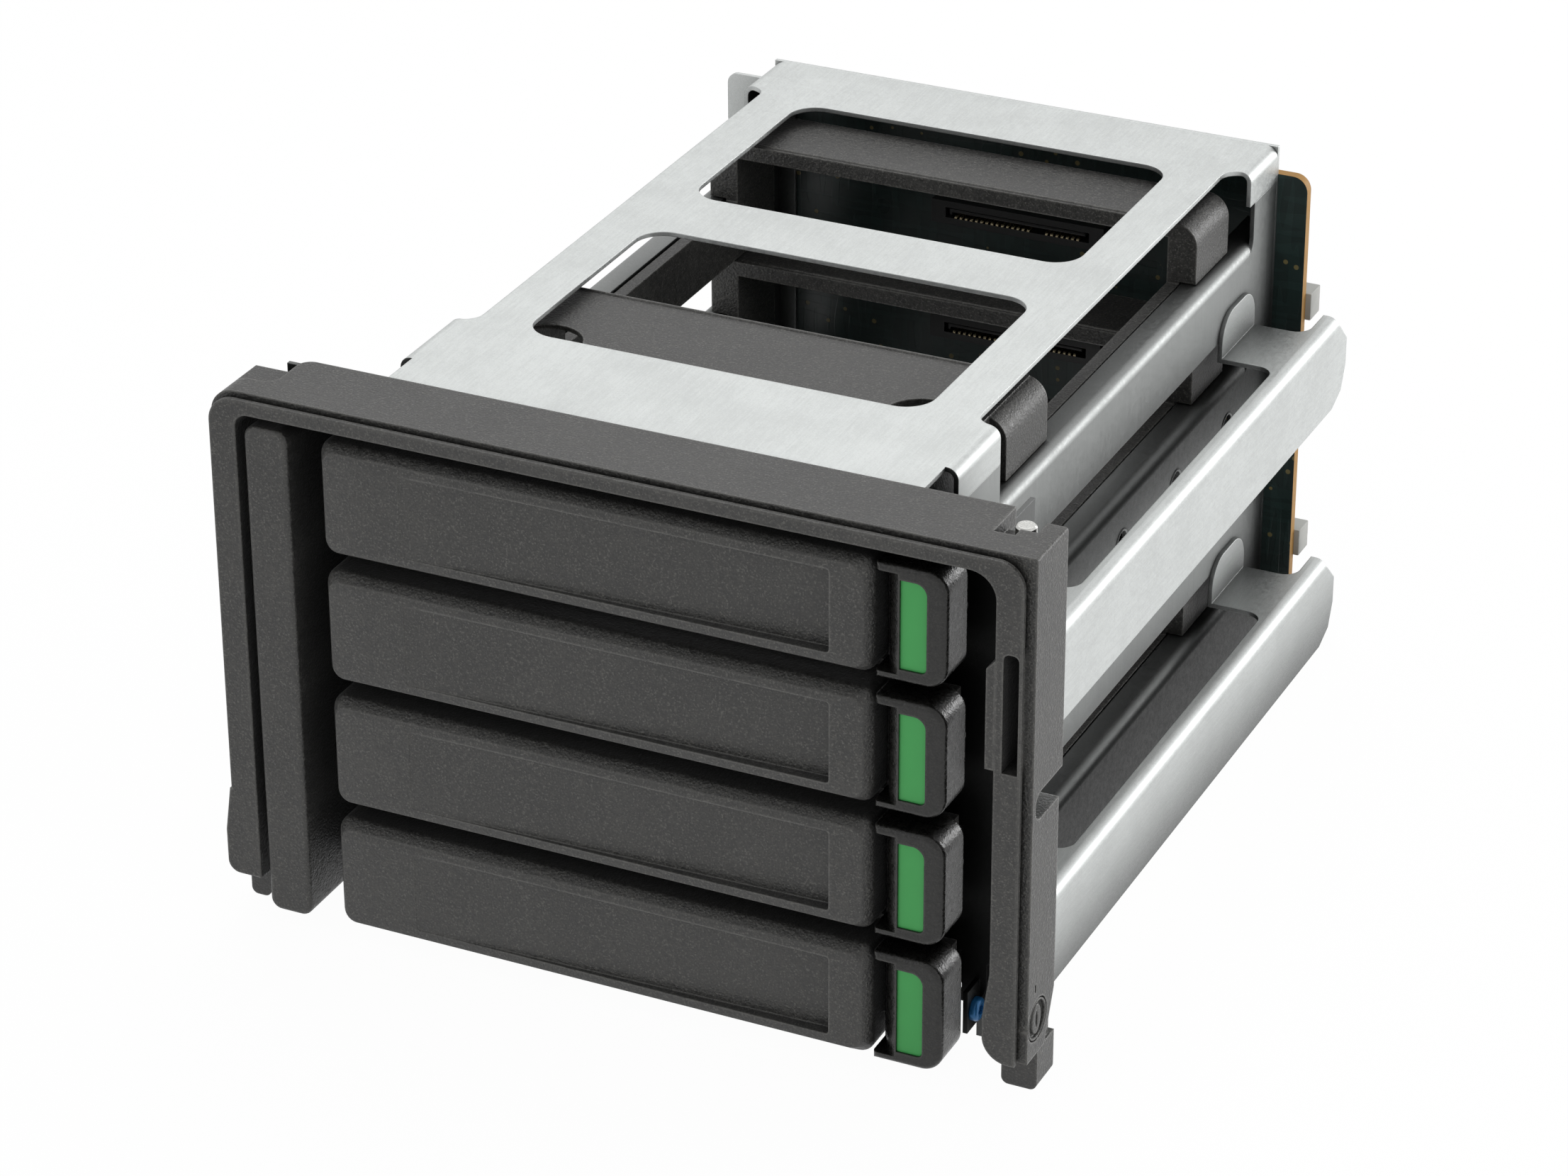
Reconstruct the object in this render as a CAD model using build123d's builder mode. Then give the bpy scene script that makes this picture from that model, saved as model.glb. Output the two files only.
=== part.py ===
from build123d import *
import os

os.makedirs("parts", exist_ok=True)

# Four-bay cage for 3.5-inch drives. Millimetres, +Z up, the fronts of the bays face -Y.
# The origin is at the middle of the footprint, on the surface that the cage stands on.

# Drives and bays
bay_count = 4
bay_pitch = 28.5
lowest_panel = 3.0
drive_width = 101.6
drive_clearance = 0.4
drive_hole_height = 6.35
drive_hole_spacing = 101.6
drive_hole_to_rear = 28.5
drive_drop = 1.0

# Bezel
bezel_rise = 1.5
leg_flare = 1.4
leg_flare_height = 20.0
leg_bottom = 9.5
leg_depth = 16.6
left_leg_width = 6.5
right_leg_width = 7.5
rim_height = 4.0
top_inset = 12.2
bezel_corner = 5.5
bezel_edge = 0.4
body_corner = 0.6
front_rim_depth = 1.2
front_rim_top = 0.9
front_rim_right = 1.9
front_rim_left = 0.4
groove_width = 0.9
groove_inset = 0.8
bar_corner = 3.0
corner_step = 1.3
corner_step_start = 8.4
overshoot = 1.0

# Sheet metal cage
sheet = 1.0
bend = 2.5
roof_gap = 1.5
lug_gap = 2.1
cage_front = 21.5
cage_rear = 208.4
plate_drop = 8.0
window_inset = 16.6
window_corner = 6.5
front_window_start = 53.5
front_window_end = 111.0
rear_window_start = 130.0
rear_window_end = 187.0
slot_start = 53.6
slot_end = 192.0
slot_inset = 5.7
slot_corner = 4.0
notch_width = 2.8
notch_length = 11.5

# Rails folded into the side walls
ledge_height = 12.5
ledge_reach = 5.4
opening_top = 25.0
opening_corner = 3.5
wall_opening_end = 195.0
rail_hole_radius = 2.8
rail_hole_pitch = 31.0
rail_hole_start = 58.7
rail_hole_count = 5
rail_hole_bay = 2
rail_hole_height = 1.7

# Outer guide rails
guide_reach = 16.9
guide_height = 21.5
guide_lip = 3.7
guide_pitch = 60.1
guide_rear = 212.0
guide_top_end = 206.0
guide_tab_start = 175.0
guide_tab_end = 195.0
guide_web_end = 62.0
guide_ear_height = 9.5
guide_corner = 8.0
guide_front_tab = 6.4

# Front frame
frame_left_reach = 18.8
frame_right_reach = 15.5
frame_step_reach = 13.0
frame_step_height = 17.5
frame_bottom = 8.0
frame_corner = 5.0
opening_clearance = 1.4
mouth_inset = 3.2
return_depth = 12.5
guide_clearance = 1.0

# Rear frame and backplane
rear_opening_inset = 5.0
rear_opening_bottom = 2.4
rear_opening_drop = 6.5
ear_reach = 12.1
ear_drop = 5.0
ear_height = 13.5
ear_hole_left = 7.1
ear_hole_width = 4.6
ear_hole_rise = 6.3
ear_hole_height = 4.1
board_overhang = 6.9
board_bottom = 1.5
board_drop = 6.8
board_thickness = 2.4
board_corner = 3.5
socket_width = 42.0
socket_height = 5.6
socket_rise = 3.6
socket_offset = 1.7
socket_slot_width = 35.0
socket_slot_height = 2.4
socket_slot_depth = 4.8
header_width = 7.0
header_height = 6.5
header_depth = 6.0
header_overhang = 1.3
header_drop = 38.5
header_low = 21.0
screw_radius = 1.5
screw_head_radius = 2.9
screw_head_height = 1.6
screw_low = 16.0
screw_drop = 20.5

# Panels
panel_lead = 1.1
panel_step = 3.4
panel_height = 25.0
panel_depth = 12.0
panel_from_bezel = 24.5
panel_corner = 3.5
panel_edge = 1.7
panel_border = 4.0
recess_start = 18.5
recess_end = 8.7
recess_margin = 3.6
recess_depth = 2.3
recess_back = 1.6

# Bay strip
strip_width = 9.7
strip_bottom = 3.0
strip_drop = 4.5
strip_gap = 6.5
strip_wall = 1.6
strip_corner = 2.5
strip_edge = 1.0

# Carriers
rail_thickness = 2.8
rail_low = 1.2
lug_width = 3.9
lug_clearance = 0.3
front_lug_start = 64.0
front_lug_length = 21.0
rear_lug_start = 168.0
rear_lug_length = 19.0
lug_round = 5.0
deck_top = 26.3
deck_thickness = 1.0
deck_hole_radius = 8.0
deck_hole_inset = 9.2
deck_hole_depth = 58.5
block_end = 17.5
block_low = 0.8
rear_lip = 1.2
rear_lip_height = 2.5
rear_pin_depth = 174.5
drive_pin_radius = 1.5
drive_pin_bite = 2.0
drive_pin_head = 2.4
drive_pin_head_height = 0.5

# Latches
latch_gap = 0.5
latch_width = 14.8
latch_to_leg = 10.0
latch_height = 24.6
latch_front = 0.6
latch_depth = 10.2
latch_corner = 4.5
latch_edge = 1.2
scoop_floor = 0.8
scoop_width = 4.9
scoop_depth = 7.0
scoop_bulge = 0.35
scoop_margin = 1.6
pad_start = 5.1
pad_width = 5.6
pad_height = 19.0
pad_bed = 1.4
pad_thickness = 0.9
pad_corner_high = 2.5
pad_corner_low = 1.2
pivot_from_left = 7.4
pivot_depth = 14.5
pivot_radius = 1.0
running_clearance = 0.05
tail_left = 2.0
tail_right = 1.8
tail_low = 8.0
tail_high = 16.0
tail_end = 28.5
nose_reach = 1.0
nose_front = 22.2
nose_length = 4.5
nose_clearance = 0.3
slot_margin = 0.6
ear_low = 3.4
ear_high = 20.8
ear_thickness = 2.2
ear_width = 3.2
spring_inner = 1.35
spring_wire = 0.7
spring_turns = 3

# Small parts of the bezel
foot_width = 7.5
foot_left_width = 4.6
foot_start = 8.0
foot_length = 8.5
foot_corner = 1.5
ridge_start = 12.9
ridge_length = 2.0
ridge_height = 14.0
ridge_inset = 0.6
dial_radius = 4.4
dial_clearance = 0.3
dial_thickness = 2.0
dial_depth = 6.9
dial_height = 17.4
dial_slot = 1.3
dial_slot_length = 5.7
index_slot = 0.6
index_length = 1.8
index_depth = 5.6
index_height = 25.0
dial_stub_radius = 1.5
dial_stub_length = 3.0
stud_radius = 2.1
stud_height = 3.0
stud_from_right = 7.6
stud_depth = 14.45
shelf_drop = 3.0
shelf_start = 9.5
shelf_inner_start = 12.2
shelf_from_right = 4.2
shelf_width = 8.0
shelf_inner_width = 3.6
side_notch_low = 63.0
side_notch_high = 69.0
side_notch_front = 3.5
arm_depth = 15.2
arm_taper_start = 20.4
arm_taper_end = 10.7
pocket_width = 3.2
pocket_low = 74.5
pocket_high = 100.0
pocket_from_right = 2.5
pocket_depth = 8.0
rib_reach = 1.8
rib_start = 0.3
rib_depth = 12.0
rib_slant = 4.0

# Blue screw below the lowest latch
tab_reach = 11.4
tab_length = 5.8
tab_bottom = 4.5
tab_top = 14.0
blue_screw_height = 8.7
blue_screw_depth = 17.9
blue_flange_radius = 2.5
blue_flange_height = 0.6
blue_head_radius = 1.9
blue_head_height = 1.0

# Worked out from the sizes above
rail_inner = drive_width / 2 + drive_clearance
rail_outer = rail_inner + rail_thickness
lug_reach = rail_outer + lug_width
half_inside = lug_reach + lug_gap
half_cage = half_inside + sheet
cage_width = 2 * half_cage
cage_height = lowest_panel + bay_count * bay_pitch + roof_gap
panel_width = cage_width + panel_lead - panel_step
latch_zone = latch_gap + latch_width + latch_to_leg
bezel_width = panel_from_bezel + panel_width + latch_zone + right_leg_width
bezel_height = cage_height + bezel_rise
overall_width = bezel_width + leg_flare
bezel_right = overall_width / 2
bezel_left = bezel_right - bezel_width
panel_left = bezel_left + panel_from_bezel
panel_right = panel_left + panel_width
cage_left = panel_left + panel_lead
cage_right = cage_left + cage_width
cage_x = (cage_left + cage_right) / 2
wall_top = cage_height - plate_drop
window_width = 2 * (half_cage - window_inset)
mouth_top = cage_height - mouth_inset
frame_front = cage_front - sheet
frame_left = cage_left - frame_left_reach
frame_right = cage_right + frame_right_reach
frame_step = cage_right + frame_step_reach
tab_x = cage_right + tab_reach
rear_opening_top = cage_height - rear_opening_drop
rear_frame_back = cage_rear + sheet
ear_top = cage_height - ear_drop
ear_bottom = ear_top - ear_height
board_top = cage_height - board_drop
board_width = cage_width + 2 * board_overhang
board_back = rear_frame_back + board_thickness
board_right = cage_x + board_width / 2
header_levels = (cage_height - header_drop, header_low)
screw_levels = (screw_low, cage_height - screw_drop)
screw_spread = half_cage - rear_opening_inset / 2
overall_depth = board_back + header_depth
inner_left = bezel_left + left_leg_width
inner_right = bezel_right - right_leg_width
inner_top = bezel_height - rim_height
shelf_level = bezel_height - shelf_drop
strip_top = cage_height - strip_drop
latch_left = panel_right + latch_gap
latch_right = latch_left + latch_width
pivot_x = latch_left + pivot_from_left
nose_right = pivot_x + tail_right + nose_reach
front_lug_end = front_lug_start + front_lug_length
rear_lug_end = rear_lug_start + rear_lug_length
front_pin_depth = rear_pin_depth - drive_hole_spacing
socket_start = rear_pin_depth + drive_hole_to_rear
guide_outer = cage_right + guide_reach


def y_at(depth):
    """Y of a point that lies this far behind the front of the panels."""
    return depth - overall_depth / 2


def section_at(depth):
    """Upright plane across the cage; extruding by a negative amount goes to the rear."""
    return Plane.XZ.offset(-y_at(depth))


def bay_base(bay):
    """Height of the underside of a bay's panel; bay 1 is at the top."""
    return lowest_panel + (bay_count - bay) * bay_pitch


def middle(start, end):
    return (start + end) / 2


def corner_near(sketch, across, up):
    """Corner of a sketch that lies nearest to a point in the sketch's plane."""
    return sketch.vertices().sort_by_distance((across, up))[0]


def save(piece, name):
    piece.label = name
    export_step(piece, f"parts/{name}.step")


def save_in_bays(piece, name):
    """Write a copy for each bay of a piece that is modelled in the lowest bay."""
    for bay in range(1, bay_count + 1):
        lift = bay_base(bay) - bay_base(bay_count)
        save(piece.moved(Location((0, 0, lift))), f"bay{bay}_{name}")


windows = (
    (front_window_start, front_window_end),
    (rear_window_start, rear_window_end),
)

# Top plate: folded down at both sides, two windows, side slots and relief notches
with BuildPart() as top_plate:
    with BuildSketch(section_at(cage_front)) as outside_fold:
        with Locations((cage_x, cage_height - plate_drop / 2)):
            Rectangle(cage_width, plate_drop)
        fillet(outside_fold.vertices().group_by(Axis.Y)[-1], bend)
    extrude(amount=-(cage_rear - cage_front))
    with BuildSketch(section_at(cage_front)) as inside_fold:
        with Locations((cage_x, cage_height - sheet - plate_drop / 2)):
            Rectangle(2 * half_inside, plate_drop)
        fillet(inside_fold.vertices().group_by(Axis.Y)[-1], bend - sheet)
    extrude(amount=-(cage_rear - cage_front), mode=Mode.SUBTRACT)
    with BuildSketch(Plane.XY.offset(cage_height)):
        for start, end in windows:
            with Locations((cage_x, y_at(middle(start, end)))):
                RectangleRounded(window_width, end - start, window_corner)
    extrude(amount=-2 * sheet, mode=Mode.SUBTRACT)
    with BuildSketch(Plane.XY.offset(cage_height)):
        for side in (-1, 1):
            edge_x = cage_x + side * half_cage
            with Locations((edge_x, y_at(middle(slot_start, slot_end)))):
                RectangleRounded(2 * slot_inset, slot_end - slot_start, slot_corner)
            with Locations((edge_x, y_at(cage_front))):
                Rectangle(2 * notch_width, 2 * notch_length)
    extrude(amount=-plate_drop, mode=Mode.SUBTRACT)
save(top_plate.part, "top_plate")


# Side walls: posts at the front and rear, and a folded ledge for each bay
def side_wall(side):
    outer_face = cage_x + side * half_cage
    inner_face = outer_face - side * sheet
    ledge_edge = inner_face - side * ledge_reach
    with BuildPart() as wall:
        with BuildSketch(Plane.YZ.offset(outer_face)):
            with Locations((y_at(middle(cage_front, cage_rear)), wall_top / 2)):
                Rectangle(cage_rear - cage_front, wall_top)
            for bay in range(1, bay_count + 1):
                low = bay_base(bay) + ledge_height - bend
                high = bay_base(bay) + opening_top
                with Locations((y_at(middle(slot_start, wall_opening_end)), middle(low, high))):
                    RectangleRounded(
                        wall_opening_end - slot_start,
                        high - low,
                        opening_corner,
                        mode=Mode.SUBTRACT,
                    )
        extrude(amount=-side * sheet)
        for bay in range(1, bay_count + 1):
            ridge = bay_base(bay) + ledge_height
            fold_low = ridge - 2 * bend
            with BuildSketch(section_at(cage_front)) as ledge:
                with BuildLine():
                    Polyline(
                        (outer_face, fold_low),
                        (outer_face, ridge),
                        (ledge_edge, ridge),
                        (ledge_edge, ridge - sheet),
                        (inner_face, ridge - sheet),
                        (inner_face, fold_low),
                        close=True,
                    )
                make_face()
                fillet(corner_near(ledge, outer_face, ridge), bend)
                fillet(corner_near(ledge, inner_face, ridge - sheet), bend - sheet)
            extrude(amount=-(cage_rear - cage_front))
        with BuildSketch(Plane.YZ.offset(outer_face)):
            for hole in range(rail_hole_count):
                hole_depth = rail_hole_start + hole * rail_hole_pitch
                with Locations((y_at(hole_depth), bay_base(rail_hole_bay) + rail_hole_height)):
                    Circle(rail_hole_radius)
        extrude(amount=-side * 2 * sheet, mode=Mode.SUBTRACT)
    return wall.part


save(side_wall(1), "side_wall_right")
save(side_wall(-1), "side_wall_left")

# Bottom plate: ties the walls together, with the same windows as the top
with BuildPart() as bottom_plate:
    with BuildSketch(Plane.XY):
        with Locations((cage_x, y_at(middle(cage_front, cage_rear)))):
            Rectangle(2 * half_inside, cage_rear - cage_front)
        for start, end in windows:
            with Locations((cage_x, y_at(middle(start, end)))):
                RectangleRounded(window_width, end - start, window_corner, mode=Mode.SUBTRACT)
    extrude(amount=sheet)
save(bottom_plate.part, "bottom_plate")

# Front frame: flange round the mouth, latch slots, a return flange and a screw tab
slot_left = pivot_x - 2 * tail_left
slot_right = nose_right + nose_clearance
with BuildPart() as front_frame:
    with BuildSketch(section_at(frame_front)) as flange:
        with BuildLine():
            Polyline(
                (frame_left, frame_bottom),
                (frame_step, frame_bottom),
                (frame_step, frame_step_height),
                (frame_right, frame_step_height + frame_right - frame_step),
                (frame_right, cage_height),
                (frame_left, cage_height),
                close=True,
            )
        make_face()
        fillet(flange.vertices().group_by(Axis.Y)[0], frame_corner)
        with Locations((cage_x, mouth_top)):
            Rectangle(
                2 * (half_inside - opening_clearance),
                mouth_top,
                align=(Align.CENTER, Align.MAX),
                mode=Mode.SUBTRACT,
            )
        for bay in range(1, bay_count + 1):
            tail_middle = bay_base(bay) + middle(tail_low, tail_high)
            with Locations((middle(slot_left, slot_right), tail_middle)):
                Rectangle(
                    slot_right - slot_left,
                    tail_high - tail_low + 2 * slot_margin,
                    mode=Mode.SUBTRACT,
                )
    extrude(amount=-sheet)
    for low, high in (
        (guide_height + guide_clearance, guide_pitch - guide_clearance),
        (guide_height + guide_pitch + guide_clearance, mouth_top),
    ):
        with BuildSketch(section_at(cage_front)):
            with Locations((frame_right - sheet / 2, middle(low, high))):
                Rectangle(sheet, high - low)
        extrude(amount=-return_depth)
    with BuildSketch(Plane.YZ.offset(tab_x)):
        with Locations((y_at(frame_front), tab_bottom)):
            Rectangle(tab_length, tab_top - tab_bottom, align=(Align.MAX, Align.MIN))
        with Locations((y_at(blue_screw_depth), blue_screw_height)):
            Circle(screw_radius, mode=Mode.SUBTRACT)
    extrude(amount=-sheet)
save(front_frame.part, "front_frame")


# Outer guide rails: an upright plate carried by a front web and a rear tab
def guide_rail(level):
    """Folded channel whose top face is at this height."""
    low = level - guide_height
    lip_edge = guide_outer - guide_lip
    window_left = cage_right - guide_corner
    gaps = ((guide_web_end, guide_tab_start), (guide_tab_end, guide_rear + guide_corner))
    with BuildPart() as guide:
        with BuildSketch(section_at(cage_front + sheet)) as fold:
            with BuildLine():
                Polyline(
                    (guide_outer, low),
                    (guide_outer, level),
                    (cage_right, level),
                    (cage_right, level - sheet),
                    (guide_outer - sheet, level - sheet),
                    (guide_outer - sheet, low),
                    close=True,
                )
            make_face()
            fillet(corner_near(fold, guide_outer, level), bend)
            fillet(corner_near(fold, guide_outer - sheet, level - sheet), bend - sheet)
        extrude(amount=-(guide_rear - cage_front - sheet))
        with BuildSketch(Plane.XY.offset(level)):
            for start, end in gaps:
                with Locations((middle(window_left, lip_edge), y_at(middle(start, end)))):
                    RectangleRounded(lip_edge - window_left, end - start, guide_lip)
        extrude(amount=-sheet, mode=Mode.SUBTRACT)
        with BuildSketch(Plane.YZ.offset(guide_outer)):
            with BuildLine():
                Polyline(
                    (y_at(guide_top_end), level + sheet),
                    (y_at(guide_top_end), level - 1.5 * sheet),
                    (y_at(guide_rear), level - guide_height / 3),
                    (y_at(guide_rear), low + guide_corner),
                    (y_at(guide_rear - guide_corner * 0.3), low + guide_corner * 0.3),
                    (y_at(guide_rear - guide_corner), low),
                    (y_at(guide_rear - guide_corner), low - sheet),
                    (y_at(guide_rear + sheet), low - sheet),
                    (y_at(guide_rear + sheet), level + sheet),
                    close=True,
                )
            make_face()
        extrude(amount=-(guide_lip + sheet), mode=Mode.SUBTRACT)
        with BuildSketch(section_at(cage_front)):
            with Locations((guide_outer, level - bend)):
                Rectangle(
                    guide_front_tab,
                    guide_height - bend,
                    align=(Align.MAX, Align.MAX),
                )
        extrude(amount=-sheet)
        with BuildSketch(Plane.YZ.offset(cage_right)) as ear:
            with Locations((y_at(middle(guide_tab_start, guide_tab_end)), level - sheet)):
                Rectangle(
                    guide_tab_end - guide_tab_start,
                    guide_ear_height + sheet,
                    align=(Align.CENTER, Align.MIN),
                )
            fillet(ear.vertices().group_by(Axis.Y)[-1], guide_ear_height * 0.7)
        extrude(amount=sheet)
    return guide.part


save(guide_rail(guide_height + guide_pitch), "guide_rail_upper")
save(guide_rail(guide_height), "guide_rail_lower")

# Rear frame: closes the cage behind, with an ear at the upper left
with BuildPart() as rear_frame:
    with BuildSketch(section_at(cage_rear)) as rear_flange:
        with Locations((cage_x, cage_height / 2)):
            Rectangle(cage_width, cage_height)
        with Locations((cage_left + sheet, middle(ear_bottom, ear_top))):
            Rectangle(ear_reach + sheet, ear_top - ear_bottom, align=(Align.MAX, Align.CENTER))
        fillet(rear_flange.vertices().group_by(Axis.X)[0], bend)
        with Locations((cage_x, middle(rear_opening_bottom, rear_opening_top))):
            Rectangle(
                cage_width - 2 * rear_opening_inset,
                rear_opening_top - rear_opening_bottom,
                mode=Mode.SUBTRACT,
            )
        with Locations((cage_left - ear_hole_left, ear_bottom + ear_hole_rise)):
            Rectangle(
                ear_hole_width,
                ear_hole_height,
                align=(Align.MIN, Align.MIN),
                mode=Mode.SUBTRACT,
            )
        for side in (-1, 1):
            for level in screw_levels:
                with Locations((cage_x + side * screw_spread, level)):
                    Circle(screw_radius, mode=Mode.SUBTRACT)
    extrude(amount=-sheet)
save(rear_frame.part, "rear_frame")

# Backplane board with its sockets, headers and screws
with BuildPart() as backplane_board:
    with BuildSketch(section_at(rear_frame_back)):
        with Locations((cage_x, middle(board_bottom, board_top))):
            RectangleRounded(board_width, board_top - board_bottom, board_corner)
        for side in (-1, 1):
            for level in screw_levels:
                with Locations((cage_x + side * screw_spread, level)):
                    Circle(screw_radius, mode=Mode.SUBTRACT)
    extrude(amount=-board_thickness)
save(backplane_board.part, "backplane_board")

for bay in range(1, bay_count + 1):
    socket_level = bay_base(bay) - drive_drop + socket_rise
    with BuildPart() as drive_socket:
        with BuildSketch(section_at(socket_start)):
            with Locations((cage_x + socket_offset, socket_level)):
                Rectangle(socket_width, socket_height)
        extrude(amount=-(rear_frame_back - socket_start))
        with BuildSketch(section_at(socket_start)):
            with Locations((cage_x + socket_offset, socket_level)):
                Rectangle(socket_slot_width, socket_slot_height)
        extrude(amount=-socket_slot_depth, mode=Mode.SUBTRACT)
    save(drive_socket.part, f"bay{bay}_socket")

for name, level in zip(("rear_header_upper", "rear_header_lower"), header_levels):
    with BuildPart() as rear_header:
        with BuildSketch(section_at(board_back)):
            with Locations((board_right + header_overhang - header_width / 2, level)):
                Rectangle(header_width, header_height)
        extrude(amount=-header_depth)
    save(rear_header.part, name)

with BuildPart() as board_screws:
    for side in (-1, 1):
        for level in screw_levels:
            with BuildSketch(section_at(cage_rear)):
                with Locations((cage_x + side * screw_spread, level)):
                    Circle(screw_radius)
            extrude(amount=-(board_back - cage_rear))
            with BuildSketch(section_at(board_back)):
                with Locations((cage_x + side * screw_spread, level)):
                    Circle(screw_head_radius)
            extrude(amount=-screw_head_height)
save(board_screws.part, "board_screws")

# Bezel: a moulded frame that is open at the bottom
with BuildPart() as bezel_frame:
    with BuildSketch(section_at(0)) as bezel_face:
        with BuildLine():
            Polyline(
                (bezel_left - leg_flare, leg_bottom),
                (bezel_left - leg_flare, leg_bottom + leg_flare_height / 2),
                (bezel_left, leg_bottom + leg_flare_height),
                (bezel_left, bezel_height),
                (bezel_right, bezel_height),
                (bezel_right, leg_bottom),
                (inner_right - leg_flare, leg_bottom),
                (inner_right - leg_flare, leg_bottom + leg_flare_height / 2),
                (inner_right, leg_bottom + leg_flare_height),
                (inner_right, inner_top),
                (inner_left, inner_top),
                (inner_left, leg_bottom),
                close=True,
            )
        make_face()
        for across, up, radius in (
            (bezel_left, bezel_height, bezel_corner),
            (bezel_right, bezel_height, body_corner),
            (inner_right, inner_top, bezel_corner),
            (inner_left, inner_top, bezel_corner / 2),
            (inner_right - leg_flare, leg_bottom, bezel_corner),
            (bezel_left - leg_flare, leg_bottom, bezel_corner / 2),
        ):
            fillet(corner_near(bezel_face, across, up), radius)
    extrude(amount=-leg_depth)
    rim_end = front_rim_depth + groove_width
    for start, end, inset in (
        (0, front_rim_depth, 0),
        (front_rim_depth, rim_end, groove_inset),
    ):
        rim_left = bezel_left + front_rim_left + inset
        rim_right = bezel_right - front_rim_right - inset
        rim_top = bezel_height - front_rim_top - inset
        with BuildSketch(section_at(start)):
            Rectangle(2 * overall_width, 3 * bezel_height)
            with Locations((middle(rim_left, rim_right), rim_top)):
                RectangleRounded(
                    rim_right - rim_left,
                    2 * bezel_height,
                    bezel_corner - inset,
                    align=(Align.CENTER, Align.MAX),
                    mode=Mode.SUBTRACT,
                )
            with Locations((bezel_left, leg_bottom)):
                Rectangle(2 * left_leg_width, 2 * leg_flare_height, mode=Mode.SUBTRACT)
        extrude(amount=-(end - start), mode=Mode.SUBTRACT)
    fillet(bezel_frame.faces().sort_by(Axis.Y)[0].edges(), bezel_edge)
    with BuildSketch(Plane.XY.offset(bezel_height)) as bar:
        bar_left = top_inset - overall_width / 2
        with Locations((0, y_at(leg_depth - overshoot))):
            Rectangle(
                -2 * bar_left,
                frame_front - leg_depth + overshoot,
                align=(Align.CENTER, Align.MIN),
            )
        fillet(corner_near(bar, bar_left, y_at(frame_front)), bar_corner)
    extrude(amount=-rim_height)
    with BuildSketch(Plane.XY.offset(bezel_height)) as step:
        with Locations((bar_left, y_at(corner_step_start))):
            Rectangle(2 * top_inset, frame_front, align=(Align.MAX, Align.MIN))
        fillet(corner_near(step, bar_left, y_at(corner_step_start)), bar_corner)
    extrude(amount=-corner_step, mode=Mode.SUBTRACT)
    with BuildSketch(Plane.XY.offset(bezel_height)):
        with Locations((bezel_right - shelf_from_right, y_at(shelf_start))):
            Rectangle(shelf_width, frame_front, align=(Align.MAX, Align.MIN))
            Rectangle(
                2 * shelf_inner_width,
                2 * (shelf_inner_start - shelf_start),
                mode=Mode.SUBTRACT,
            )
    extrude(amount=-shelf_drop, mode=Mode.SUBTRACT)
    notch_height = side_notch_high - side_notch_low
    with BuildSketch(Plane.YZ.offset(bezel_right)):
        with Locations((y_at(side_notch_front), middle(side_notch_low, side_notch_high))):
            RectangleRounded(
                2 * leg_depth,
                notch_height,
                notch_height * 0.45,
                align=(Align.MIN, Align.CENTER),
            )
        with BuildLine():
            Polyline(
                (y_at(arm_depth), side_notch_low),
                (y_at(arm_depth), arm_taper_start),
                (y_at(arm_taper_end), leg_bottom),
                (y_at(arm_taper_end), leg_bottom - overshoot),
                (y_at(leg_depth + overshoot), leg_bottom - overshoot),
                (y_at(leg_depth + overshoot), side_notch_low),
                close=True,
            )
        make_face()
    extrude(amount=-(right_leg_width + 2 * leg_flare), mode=Mode.SUBTRACT)
    for radius, depth in (
        (dial_radius + dial_clearance, dial_thickness + dial_clearance),
        (dial_stub_radius + running_clearance, dial_thickness + dial_stub_length + dial_clearance),
    ):
        with BuildSketch(Plane.YZ.offset(bezel_right)):
            with Locations((y_at(dial_depth), dial_height)):
                Circle(radius)
        extrude(amount=-depth, mode=Mode.SUBTRACT)
    with BuildSketch(Plane.YZ.offset(bezel_right)):
        with Locations((y_at(index_depth), index_height)):
            Rectangle(index_slot, index_length)
    extrude(amount=-dial_thickness / 2, mode=Mode.SUBTRACT)
    with BuildSketch(section_at(rib_start)):
        with BuildLine():
            Polyline(
                (inner_right - rib_reach, pocket_low),
                (inner_right - rib_reach, pocket_high - rib_slant),
                (inner_right + rib_reach, pocket_high),
                (inner_right + rib_reach, pocket_low),
                close=True,
            )
        make_face()
    extrude(amount=-(rib_depth - rib_start))
    with BuildSketch(section_at(0)) as pocket:
        with Locations((bezel_right - pocket_from_right, middle(pocket_low, pocket_high))):
            Rectangle(pocket_width, pocket_high - pocket_low, align=(Align.MAX, Align.CENTER))
        fillet(pocket.vertices().group_by(Axis.Y)[-1], pocket_width * 0.4)
    extrude(amount=-pocket_depth, mode=Mode.SUBTRACT)
save(bezel_frame.part, "bezel_frame")

# Dial lock in the side of the right leg, with a stub that it turns on
with BuildPart() as lock_dial:
    with BuildSketch(Plane.YZ.offset(bezel_right)):
        with Locations((y_at(dial_depth), dial_height)):
            Circle(dial_radius)
    extrude(amount=-dial_thickness)
    with BuildSketch(Plane.YZ.offset(bezel_right - dial_thickness)):
        with Locations((y_at(dial_depth), dial_height)):
            Circle(dial_stub_radius)
    extrude(amount=-dial_stub_length)
    with BuildSketch(Plane.YZ.offset(bezel_right)):
        with Locations((y_at(dial_depth), dial_height)):
            Rectangle(dial_slot, dial_slot_length)
    extrude(amount=-dial_thickness / 2, mode=Mode.SUBTRACT)
save(lock_dial.part, "lock_dial")

# Steel stud on the shelf behind the bezel's upper right corner
with BuildPart() as bezel_stud:
    with BuildSketch(Plane.XY.offset(shelf_level)):
        with Locations((bezel_right - stud_from_right, y_at(stud_depth))):
            Circle(stud_radius)
    extrude(amount=stud_height)
    chamfer(bezel_stud.faces().sort_by(Axis.Z)[-1].edges(), 0.4)
save(bezel_stud.part, "bezel_stud")

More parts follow.
